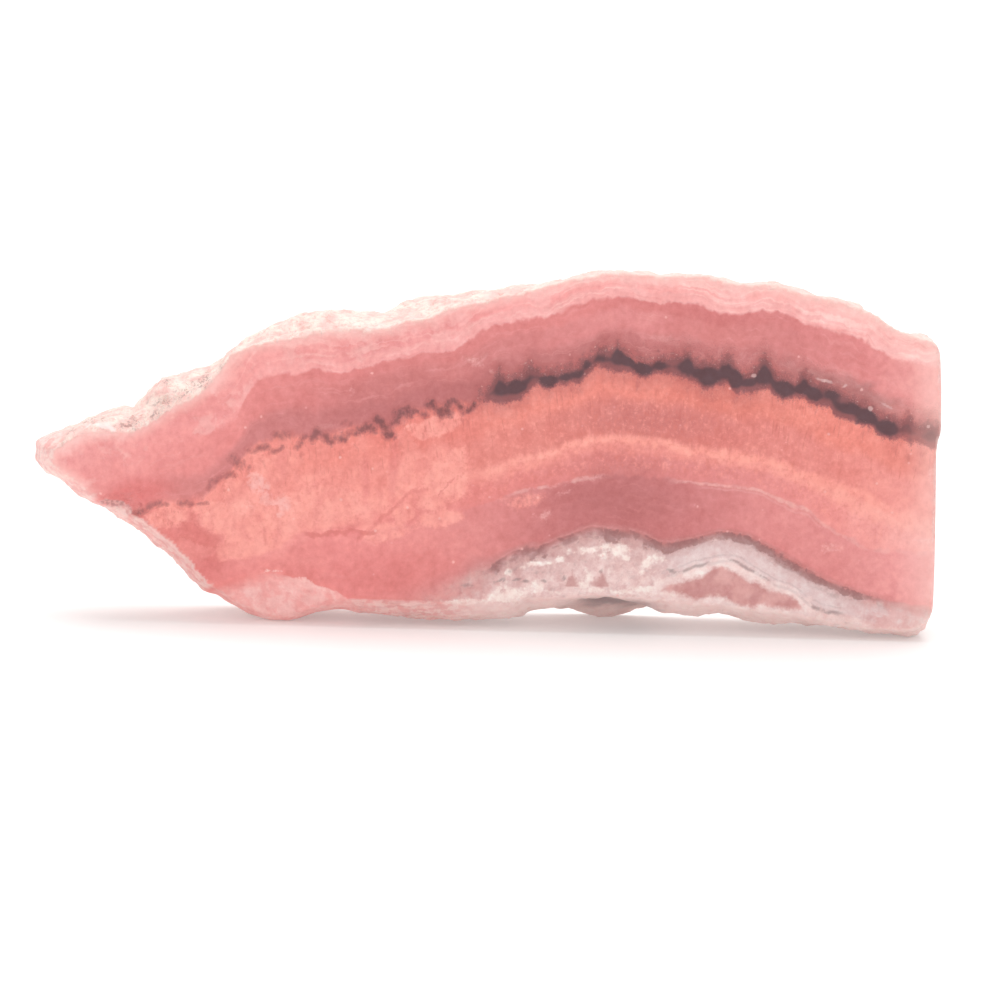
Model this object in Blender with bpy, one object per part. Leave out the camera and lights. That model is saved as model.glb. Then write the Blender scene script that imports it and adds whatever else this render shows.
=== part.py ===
# A sawn slice of banded rhodochrosite, standing on its lower edge.
# One solid: two flat sawn faces, a sawn right end, and rough natural skin round the rest of the rim.

import math

import bmesh
import bpy
import numpy as np
from mathutils import Matrix, Vector, noise

MM = 0.001

# Driving dimensions
THICKNESS = 12.0 * MM
RIM_STEPS = 250
SKIN_DEPTH = 0.27
BACK_EDGE_WEAR = 0.30 * MM
RING_DEPTHS = (0.0, 0.03, 0.08, 0.15, 0.23, 0.31, 0.39, 0.47, 0.55, 0.63, 0.71, 0.79, 0.87, 0.95, 1.0)

# The front face's edge, in mm, clockwise from the left tip as seen from the front. Each row is
# x, z, how far the skin stands out past the face's edge, and how far the back face's edge does.
RIM = (
    (-43.8, 18.3, 0.9, 0.0),
    (-42.3, 19.5, 0.2, -0.6),
    (-40.0, 20.5, 0.8, 0.0),
    (-37.3, 20.2, 1.9, 1.4),
    (-35.6, 20.3, 1.7, 1.4),
    (-33.5, 21.3, 2.2, 2.1),
    (-31.3, 22.7, 2.4, 2.5),
    (-29.2, 24.0, 1.8, 1.7),
    (-27.5, 25.9, 0.9, 0.5),
    (-25.9, 28.2, 0.2, -0.9),
    (-23.3, 29.2, 0.9, 0.5),
    (-20.4, 29.7, 1.4, 1.0),
    (-17.5, 30.1, 1.4, 1.1),
    (-14.6, 30.4, 0.6, 0.2),
    (-10.8, 30.6, 0.5, -0.3),
    (-8.8, 31.4, 0.6, -0.2),
    (-5.8, 31.9, 1.3, 0.8),
    (-3.9, 32.7, 1.0, 0.2),
    (-0.3, 33.3, 0.8, -0.2),
    (3.2, 34.3, 0.2, -0.9),
    (6.4, 35.2, -0.3, -1.9),
    (9.9, 35.9, -0.5, -2.7),
    (12.8, 36.3, -0.6, -3.0),
    (17.0, 35.9, -0.6, -3.0),
    (21.0, 35.9, -0.5, -2.8),
    (24.8, 35.0, -0.6, -2.8),
    (28.0, 34.9, -0.5, -2.6),
    (32.0, 33.9, -0.4, -2.4),
    (36.0, 32.9, 0.1, -1.8),
    (39.0, 31.6, 0.0, -1.6),
    (41.2, 30.3, 0.1, -1.2),
    (43.6, 29.5, 0.0, -0.5),
    (44.6, 28.7, 0.0, 0.0),
    (44.8, 27.0, 0.0, 0.0),
    (44.9, 24.0, 0.0, 0.0),
    (44.9, 19.9, 0.0, 0.0),
    (44.5, 18.8, 0.0, 0.0),
    (44.5, 12.0, 0.0, 0.0),
    (44.4, 4.0, 0.0, 0.0),
    (44.1, 1.6, 0.1, 0.0),
    (42.6, 0.5, 1.2, 0.8),
    (39.0, 0.5, 1.0, 0.3),
    (34.8, 1.1, 1.5, 0.4),
    (30.6, 1.8, 1.5, 0.3),
    (25.0, 2.4, 1.1, 0.1),
    (19.8, 3.0, 2.1, 0.8),
    (15.5, 3.5, 0.9, 2.8),
    (11.2, 3.8, 0.6, 4.0),
    (7.0, 3.6, 1.0, 2.6),
    (3.9, 3.6, 1.3, 0.7),
    (1.9, 3.2, 2.2, 0.9),
    (-2.0, 3.1, 2.4, 1.1),
    (-6.0, 3.2, 2.6, 1.3),
    (-10.0, 3.4, 2.7, 1.3),
    (-12.8, 3.5, 2.4, 1.2),
    (-15.0, 3.5, 1.8, 1.1),
    (-17.6, 3.0, 1.5, 1.1),
    (-20.6, 2.5, 1.8, 1.4),
    (-23.5, 2.8, 1.2, 0.9),
    (-26.5, 3.9, 1.1, 0.4),
    (-28.6, 5.3, 1.6, 0.2),
    (-30.2, 7.2, 1.5, 0.2),
    (-32.0, 9.2, 1.7, 0.5),
    (-33.6, 10.7, 1.5, 0.8),
    (-35.6, 12.0, 1.6, 0.5),
    (-38.0, 12.9, 1.3, 0.1),
    (-40.7, 14.6, 1.4, 0.3),
    (-42.3, 15.8, 0.6, 0.2),
    (-43.5, 16.9, 1.0, 0.2),
)

# The slice stands on two front feet, one past each of these places along it, and on a third
# foot at the back edge between them. It is turned until the front two are level.
LEFT_FOOT_WITHIN = -10.0 * MM
RIGHT_FOOT_WITHIN = 30.0 * MM
LEVELLING_TURNS = 4

# Natural lumps on the skin: (wavelength, height) of each layer of relief
LUMPS = ((7.5 * MM, 0.55 * MM), (3.3 * MM, 0.46 * MM), (1.8 * MM, 0.24 * MM))
LUMP_SEED = Vector((3.7, 11.2, 5.9))
SAWN_END = 44.2 * MM
SAWN_FADE = 3.0 * MM

# Broken layers of the stone, which leave ledges on the skin: how broad the pattern of them is,
# the height of one ledge, how many layers the pattern crosses, and the share that is riser
LEDGE_PATTERN = 9.0 * MM
LEDGE_HEIGHT = 0.42 * MM
LEDGE_LAYERS = 3.0
LEDGE_RISER = 0.30
LEDGE_SEED = Vector((8.1, 0.4, 2.6))

# Pits in the skin, in mm: where (x, y, z), radius and depth, before the slice is set down
PITS = (
    ((-37.6, -2.6, 21.2), 1.3, 0.75),
    ((-34.4, 1.4, 22.4), 1.2, 0.60),
    ((-28.0, -3.0, 26.6), 1.2, 0.70),
    ((-26.6, 2.6, 27.6), 1.3, 0.75),
    ((-21.2, -0.4, 30.8), 1.4, 0.55),
    ((-15.8, 3.4, 31.3), 1.2, 0.55),
    ((-12.4, -1.8, 31.8), 1.1, 0.50),
    ((-4.6, 0.8, 33.8), 1.3, 0.60),
    ((5.2, 3.0, 34.4), 1.3, 0.60),
    ((23.6, 1.6, 34.4), 1.5, 0.65),
    ((33.4, 3.2, 32.6), 1.2, 0.55),
    ((27.4, -1.0, 1.0), 1.4, 0.60),
    ((15.6, -0.6, 2.2), 1.3, 0.55),
    ((4.6, 1.6, 2.6), 1.3, 0.55),
    ((-7.6, 2.2, 1.4), 1.3, 0.60),
    ((-31.6, 2.4, 8.4), 1.3, 0.60),
    ((-36.6, 1.0, 11.6), 1.2, 0.60),
)

# Shell-shaped chips broken out of the edges of both faces: place (x, depth behind the front
# face, z), half sizes (x, y, z) and the turn about y, all before the slice is set down
CHIPS = (
    ((-22.6, -1.9, 1.0), (9.0, 3.0, 5.2), 8.0),
    ((-38.4, -1.3, 21.7), (3.6, 2.0, 1.9), -8.0),
    ((-38.6, -1.5, 11.2), (5.6, 2.7, 2.6), -32.0),
    ((45.5, -0.2, 16.6), (1.3, 0.7, 1.5), 0.0),
    ((44.9, -1.3, -0.4), (2.7, 3.0, 2.1), 28.0),
    ((16.8, 12.5, 33.7), (4.4, 1.6, 1.4), 4.0),
    ((-24.4, 13.2, 29.9), (3.6, 2.4, 2.0), -30.0),
    ((-39.6, 13.0, 13.0), (3.4, 2.6, 1.8), 34.0),
    ((31.0, 13.1, 0.6), (4.6, 2.4, 2.0), -2.0),
)
CHIP_SEGMENTS = 28
CHIP_RINGS = 14

STONE_COLOUR = (0.78, 0.29, 0.27, 1.0)
STONE_ROUGHNESS = 0.38
SHARP_ANGLE = math.radians(40)


def clear_scene():
    for obj in list(bpy.data.objects):
        bpy.data.objects.remove(obj, do_unlink=True)


def stone_material():
    material = bpy.data.materials.new("banded_rhodochrosite")
    material.use_nodes = True
    shader = material.node_tree.nodes["Principled BSDF"]
    shader.inputs["Base Color"].default_value = STONE_COLOUR
    shader.inputs["Roughness"].default_value = STONE_ROUGHNESS
    shader.inputs["Metallic"].default_value = 0.0
    return material


def smooth_closed_curve(rows, per_span=24):
    """Points on a Catmull-Rom curve through the rows, closed, in as many columns as they have."""
    rows = np.array(rows, float)
    before, start, end, after = (np.roll(rows, shift, axis=0) for shift in (1, 0, -1, -2))
    curve = []
    for step in range(per_span):
        t = step / per_span
        curve.append(
            0.5
            * (
                2 * start
                + (end - before) * t
                + (2 * before - 5 * start + 4 * end - after) * t**2
                + (3 * start - before - 3 * end + after) * t**3
            )
        )
    return np.stack(curve, axis=1).reshape(-1, rows.shape[1])


def evenly_spaced(curve, count):
    """The closed curve again, as count points at equal steps along it."""
    closed = np.vstack([curve, curve[:1]])
    steps = np.hypot(*(np.diff(closed[:, :2], axis=0).T))
    along = np.concatenate([[0.0], np.cumsum(steps)])
    places = np.arange(count) * along[-1] / count
    return np.stack([np.interp(places, along, column) for column in closed.T], axis=1)


def outward_normals(points):
    """Unit normals in the x, z plane of a clockwise outline, smoothed over its neighbours."""
    tangent = np.roll(points, -2, axis=0) - np.roll(points, 2, axis=0)
    normal = np.stack([-tangent[:, 1], tangent[:, 0]], axis=1)
    return normal / np.linalg.norm(normal, axis=1, keepdims=True)


def ease(t):
    return t * t * (3 - 2 * t)


def stand_out(depth, skin, back):
    """How far the rim stands out at this share of the thickness, from the front face's edge."""
    if depth <= SKIN_DEPTH:
        return skin * math.sin(0.5 * math.pi * depth / SKIN_DEPTH)
    share = (depth - SKIN_DEPTH) / (1 - SKIN_DEPTH)
    worn = BACK_EDGE_WEAR * share**8
    return skin + (back - skin) * ease(share) - worn


def ledge_height(place):
    """Height of the broken layer that the skin has at a point, stepped with steep risers."""
    layers = LEDGE_LAYERS * noise.noise(place / LEDGE_PATTERN + LEDGE_SEED)
    below = math.floor(layers)
    climbed = min(max((layers - below - 0.5) / LEDGE_RISER + 0.5, 0.0), 1.0)
    return LEDGE_HEIGHT * (below + ease(climbed))


def pit_depth(place):
    depth = 0.0
    for middle, radius, deep in PITS:
        away = (place - Vector(middle) * MM).length / (radius * MM)
        depth += deep * MM * math.exp(-(away**4))
    return depth


def relief(place, depth):
    """Relief of the natural skin at a point. It fades at both faces and is nil on the sawn end."""
    natural = min(max((SAWN_END - place.x) / SAWN_FADE, 0.0), 1.0)
    inside = math.sqrt(math.sin(math.pi * min(depth, 0.5)))
    behind = 1.0 - 0.6 * max(2.0 * depth - 1.0, 0.0) ** 2
    lumps = sum(high * noise.noise(place / wide + LUMP_SEED) for wide, high in LUMPS)
    return (lumps + ledge_height(place) - pit_depth(place)) * natural * inside * behind


def slice_mesh():
    """The slice's body: rings of the rim from the front face to the back, capped flat."""
    rim = evenly_spaced(smooth_closed_curve(RIM) * MM, RIM_STEPS)
    outline, skins, backs = rim[:, :2], rim[:, 2], rim[:, 3]
    normals = outward_normals(outline)
    body = bmesh.new()
    rings = []
    for depth in RING_DEPTHS:
        ring = []
        for (x, z), (across, up), skin, back in zip(outline, normals, skins, backs):
            out = stand_out(depth, skin, back)
            place = Vector((x + across * out, (depth - 0.5) * THICKNESS, z + up * out))
            out = relief(place, depth)
            ring.append(body.verts.new(place + Vector((across * out, 0, up * out))))
        rings.append(ring)
    for front, behind in zip(rings, rings[1:]):
        for i in range(RIM_STEPS):
            j = (i + 1) % RIM_STEPS
            body.faces.new((front[i], front[j], behind[j], behind[i]))
    body.faces.new(rings[0])
    body.faces.new(rings[-1])
    bmesh.ops.recalc_face_normals(body, faces=body.faces)
    mesh = bpy.data.meshes.new("slice")
    body.to_mesh(mesh)
    body.free()
    return mesh


def chip_cutter(number, place, half_sizes, turn):
    """A hidden ellipsoid that breaks one shell-shaped chip out of the front edge."""
    x, behind, z = place
    ball = bmesh.new()
    bmesh.ops.create_uvsphere(
        ball, u_segments=CHIP_SEGMENTS, v_segments=CHIP_RINGS, radius=1.0
    )
    shape = Matrix.Diagonal(Vector(half_sizes) * MM).to_4x4()
    where = Matrix.Translation(Vector((x * MM, behind * MM - THICKNESS / 2, z * MM)))
    lean = Matrix.Rotation(math.radians(turn), 4, "Y")
    bmesh.ops.transform(ball, matrix=where @ lean @ shape, verts=ball.verts)
    mesh = bpy.data.meshes.new(f"chip_{number}")
    ball.to_mesh(mesh)
    ball.free()
    cutter = bpy.data.objects.new(f"chip_{number}", mesh)
    bpy.context.scene.collection.objects.link(cutter)
    cutter.hide_render = True
    cutter.display_type = "WIRE"
    return cutter


def chipped(body):
    for number, (place, half_sizes, turn) in enumerate(CHIPS, start=1):
        cut = body.modifiers.new(f"chip_{number}", "BOOLEAN")
        cut.operation = "DIFFERENCE"
        cut.solver = "EXACT"
        cut.object = chip_cutter(number, place, half_sizes, turn)
    bpy.context.view_layer.update()
    graph = bpy.context.evaluated_depsgraph_get()
    mesh = bpy.data.meshes.new_from_object(body.evaluated_get(graph))
    body.modifiers.clear()
    body.data = mesh


def lowest(corners):
    return corners[corners[:, 2].argmin()]


def set_down(mesh):
    """Levels the two front feet, then puts the origin under the middle of the slice."""
    for _ in range(LEVELLING_TURNS):
        corners = np.array([vertex.co for vertex in mesh.vertices])
        left = lowest(corners[corners[:, 0] < LEFT_FOOT_WITHIN])
        right = lowest(corners[corners[:, 0] > RIGHT_FOOT_WITHIN])
        slope = math.atan2(right[2] - left[2], right[0] - left[0])
        mesh.transform(Matrix.Rotation(slope, 4, "Y"))
    corners = np.array([vertex.co for vertex in mesh.vertices])
    low, high = corners.min(axis=0), corners.max(axis=0)
    middle = (low + high) / 2
    mesh.transform(Matrix.Translation(Vector((-middle[0], -middle[1], -low[2]))))


def main():
    clear_scene()
    body = bpy.data.objects.new("slice", slice_mesh())
    bpy.context.scene.collection.objects.link(body)
    chipped(body)
    set_down(body.data)
    body.data.materials.clear()
    body.data.materials.append(stone_material())
    body.data.shade_smooth()
    body.data.set_sharp_from_angle(angle=SHARP_ANGLE)


main()
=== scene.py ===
import math

import bmesh
import bpy
import numpy as np
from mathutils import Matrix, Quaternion, Vector
from mathutils.kdtree import KDTree


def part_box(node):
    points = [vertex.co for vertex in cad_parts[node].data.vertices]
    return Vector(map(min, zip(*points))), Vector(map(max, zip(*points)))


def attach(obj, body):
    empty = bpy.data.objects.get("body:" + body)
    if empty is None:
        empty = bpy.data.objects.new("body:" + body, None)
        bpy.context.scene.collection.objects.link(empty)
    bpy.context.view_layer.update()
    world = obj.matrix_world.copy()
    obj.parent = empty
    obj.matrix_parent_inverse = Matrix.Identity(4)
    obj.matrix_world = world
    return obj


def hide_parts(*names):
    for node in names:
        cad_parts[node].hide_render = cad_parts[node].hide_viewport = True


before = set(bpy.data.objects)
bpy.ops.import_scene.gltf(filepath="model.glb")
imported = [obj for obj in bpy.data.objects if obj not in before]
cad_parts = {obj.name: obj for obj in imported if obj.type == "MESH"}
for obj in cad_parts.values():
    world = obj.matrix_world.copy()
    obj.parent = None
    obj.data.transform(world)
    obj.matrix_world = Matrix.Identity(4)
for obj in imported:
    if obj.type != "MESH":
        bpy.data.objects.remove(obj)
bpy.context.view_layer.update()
mm = 0.001

# The bands are drawn in mm as seen from the front, before the slice was turned by the slope
# between its feet and put on the table.
drawing = {"turn": math.radians(1.471), "shiftX": 0.903, "shiftZ": -0.181, "left": -45.5, "right": 45.5}

# Band boundaries, bottom to top, as x and z in mm on the drawing, and the layer height each one
# has. Between two boundaries the layer height runs evenly from one to the next. A line can have its
# corners eased over some mm.
bandLines = {
    "greyLine": {"layer": -3, "eased": 0.9, "points": [
        (-45.4, -16.6), (-5, -1.6), (3, 3.4), (7, 4.4), (12, 4.9), (16, 5.1), (18.4, 6.2), (20.8, 6.8),
        (23.2, 7.5), (25.1, 7.1), (26.9, 6), (29.1, 4.8), (30.7, 4.4), (31.8, 2.9), (34.2, 2.3), (38, 1.2),
        (45.5, 0.2)]},
    "matrixTop": {"layer": 0, "eased": 0.9, "points": [
        (-45.4, -12.6), (-29, -7.1), (-19, -3.8), (-11, 0.2), (-7, 2), (-4, 3.5), (-1.9, 5.7), (-0.3, 6.2),
        (3.2, 8.2), (5.1, 8.3), (7.8, 9.4), (9.9, 10.3), (13.1, 10.1), (15.3, 9.7), (17.3, 8.3), (20.5, 9.2),
        (23.2, 10), (25.9, 9.5), (29.1, 7.5), (31.8, 5.9), (34.5, 4.6), (37.1, 3.7), (39.8, 2.9), (44.4, 2.3),
        (45.5, 2.1)]},
    "whiteLine": {"layer": 5.6, "points": [
        (-45.4, 3.4), (-35.3, 5.9), (-32, 6.6), (-26.4, 7.3), (-21.8, 8.1), (-19, 10.2), (-12, 10.5),
        (-9.1, 11), (-4.5, 11.6), (1.3, 13.7), (2.7, 14.4), (4.3, 14.7), (7.1, 15), (8.6, 15.4), (10.7, 15.7),
        (15, 15.8), (18, 15.6), (21, 15.1), (24.5, 15), (26.9, 14.5), (29.1, 13.5), (31.5, 12.5), (34.5, 10),
        (38, 8.5), (41.7, 8.3), (45.5, 8.2)]},
    "peachLine": {"layer": 9.4, "points": [
        (-45.4, 5.9), (-35.3, 8.9), (-29, 10.4), (-19, 12.9), (-9, 14.4), (-5, 15.2), (-2, 15.8), (1.3, 16.6),
        (4.3, 17.7), (7.8, 18.8), (10.4, 19.4), (13.1, 19.6), (16.5, 19.2), (19.7, 18.4), (23.7, 17.7),
        (26.9, 17.3), (29.1, 16.7), (31.8, 15.7), (35.8, 14.6), (38.5, 13), (41.1, 11.6), (43.8, 11),
        (45.5, 10.4)]},
    "seam": {"layer": 17.8, "points": [
        (-45.4, 7.4), (-43, 8.2), (-38, 10.4), (-35.3, 12.1), (-33, 13.1), (-30.3, 13.2), (-28.6, 13.5),
        (-26.3, 15.7), (-25.1, 17.1), (-23.8, 18.4), (-20.9, 19.9), (-18.2, 19.6), (-16, 19.7), (-13.7, 20.7),
        (-11, 20.7), (-9.9, 20.4), (-8.8, 21.8), (-6.9, 22.4), (-5.9, 22.9), (-3.5, 23), (-2.1, 22.7),
        (-0.3, 24), (0.8, 25.1), (2.4, 24.9), (4.3, 26), (5.9, 25.7), (7.8, 26.1), (9.4, 26.9), (11, 28),
        (12.9, 28.1), (15, 27.1), (17, 27), (19.7, 27.1), (21.6, 26.1), (23.7, 26.4), (24.5, 25.7),
        (27.5, 26.1), (29.1, 24.9), (31.8, 24.4), (32.3, 23.7), (34.5, 22.5), (37.1, 22.1), (39.3, 21),
        (41.4, 20.4), (43.8, 19.8), (45.5, 19.3)]},
    "paleEdge": {"layer": 23.5, "points": [
        (-45.4, 12.9), (-43, 13.4), (-38, 15.9), (-33, 18.4), (-29, 19.8), (-26.2, 20.6), (-24.9, 22.1),
        (-24, 24.4), (-23, 25.6), (-21, 25.9), (-19, 26.1), (-17.7, 26.4), (-16.4, 26.3), (-14.7, 25.9),
        (-13.7, 26.3), (-12.4, 26.8), (-10.8, 27.1), (-8.3, 27.6), (-6.4, 27.9), (-3.5, 28.4), (-2.4, 29.4),
        (-0.3, 30.5), (2.4, 31.4), (5.1, 31.7), (7, 32), (8.8, 33), (11, 33.4), (14.2, 33.6), (16, 33),
        (18.4, 33), (20.8, 32.8), (22.6, 32), (24.8, 31.8), (26.9, 32.3), (29.1, 32), (31.8, 30.8),
        (34.5, 30.2), (36.6, 29.6), (38.5, 28.7), (39.8, 27.6), (42.5, 27.1), (45.5, 26.7)]},
}

# The black seam's upper and lower edges where it is thick, as x and z on the drawing
seamEdges = {
    "top": [
        (-0.6, 24), (0.2, 25), (0.9, 26.2), (1.3, 25.7), (1.7, 25.4), (2.7, 25.8), (3.1, 25.8), (3.9, 26.8),
        (4.7, 26.5), (5.1, 26.1), (6.7, 26.2), (8.8, 26.8), (9.2, 27.4), (10.2, 27.8), (10.7, 28.4),
        (12.3, 28.5), (12.6, 28.9), (13, 28.4), (14.3, 27.5), (15, 27.4), (15.8, 27.1), (16.6, 27.5),
        (18.9, 27.6), (19.7, 28.1), (20.4, 27), (21.6, 27), (22.7, 26.8), (23, 27.3), (23.7, 27.4),
        (24.5, 26.4), (25.1, 25.9), (26, 26), (26.6, 26.6), (27, 27.3), (27.4, 27.5), (27.8, 26.8),
        (28.6, 25.5), (29.4, 25.4), (30.3, 24.9), (30.8, 25.6), (31.2, 25.9), (31.6, 25.3), (32.4, 24.8),
        (34, 24.5), (34.8, 23.9), (35.6, 23.4), (36.4, 23.1), (37.2, 22.8), (38, 22.3), (38.8, 21.6),
        (39.6, 21.5), (40.9, 21), (41.6, 21.5), (42.6, 20.4), (43.9, 20.8), (45.5, 20)],
    "bottom": [
        (-0.6, 23.5), (0.2, 23.5), (1, 23.3), (2.6, 23.6), (3.2, 23.9), (4.3, 25), (4.8, 25.3), (5.6, 24.8),
        (6.1, 24.9), (6.6, 25.2), (7.6, 25.2), (8.1, 25.5), (8.9, 25.3), (9.9, 26.5), (10.7, 27.1),
        (12.4, 26.5), (13.6, 26.5), (14.4, 26.3), (15, 25.9), (15.9, 26.1), (16.5, 26.4), (18.2, 26.3),
        (19.4, 25.9), (20.7, 25.4), (21.3, 24.8), (21.8, 24.9), (22.4, 25.2), (23.7, 25.4), (24.1, 24.8),
        (24.6, 24.4), (25.1, 24.6), (26.2, 24.6), (26.8, 24.9), (27.6, 25), (28.1, 24.4), (29.2, 23.8),
        (30.3, 24.1), (31.2, 24.1), (31.6, 23.5), (33.8, 23.1), (34.3, 22.2), (35.5, 21.8), (36.8, 21.4),
        (38, 21.1), (38.5, 20.4), (39.2, 20.1), (40, 19.8), (41.3, 20.1), (41.8, 19.4), (42.4, 19.7),
        (43.8, 19), (45.5, 18.6)],
}

# The pink lens in the matrix, likewise
lensEdges = {
    "top": [
        (17.3, 4.6), (18.8, 5.2), (20, 5.4), (21.2, 5.7), (21.8, 6.2), (22.5, 6.7), (23.3, 6.7), (24.3, 6.3),
        (25.2, 5.6), (25.8, 5.2), (26.7, 5.2), (27.3, 4.8), (27.8, 4.4), (28.8, 4.2), (30, 3.8), (30.7, 3.4),
        (31.1, 2.7)],
    "bottom": [
        (17.3, 4.4), (18.8, 4.1), (20, 3.7), (20.7, 3.4), (21.7, 3.8), (23, 3.8), (23.8, 3.5), (24.3, 3.1),
        (25.3, 2.8), (26.3, 2.7), (27.3, 3), (28.3, 2.7), (29.5, 2.6), (31.1, 2.4)],
}

# Two healed cracks in the columns, as x and z on the drawing
cracks = {
    "crackLong": [(-13.5, 9.4), (-12, 10.5), (-10.7, 11.7), (-9.5, 12.7), (-8.3, 14), (-7.6, 14.4),
                  (-6.9, 14.5), (-6, 14.6)],
    "crackShort": [(-5.4, 13.7), (-4.6, 14.6), (-4.3, 15), (-3.5, 15.8)],
}

# The shallow shell-shaped chip at the lower left lies under this line
chipEdge = [(-29.5, 3.2), (-27.6, 5), (-25, 5.9), (-21.6, 6.6), (-19.9, 5.8), (-18.4, 5.5), (-16.1, 4.7),
            (-14.3, 3.5), (-13.2, 2.4)]

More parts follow.
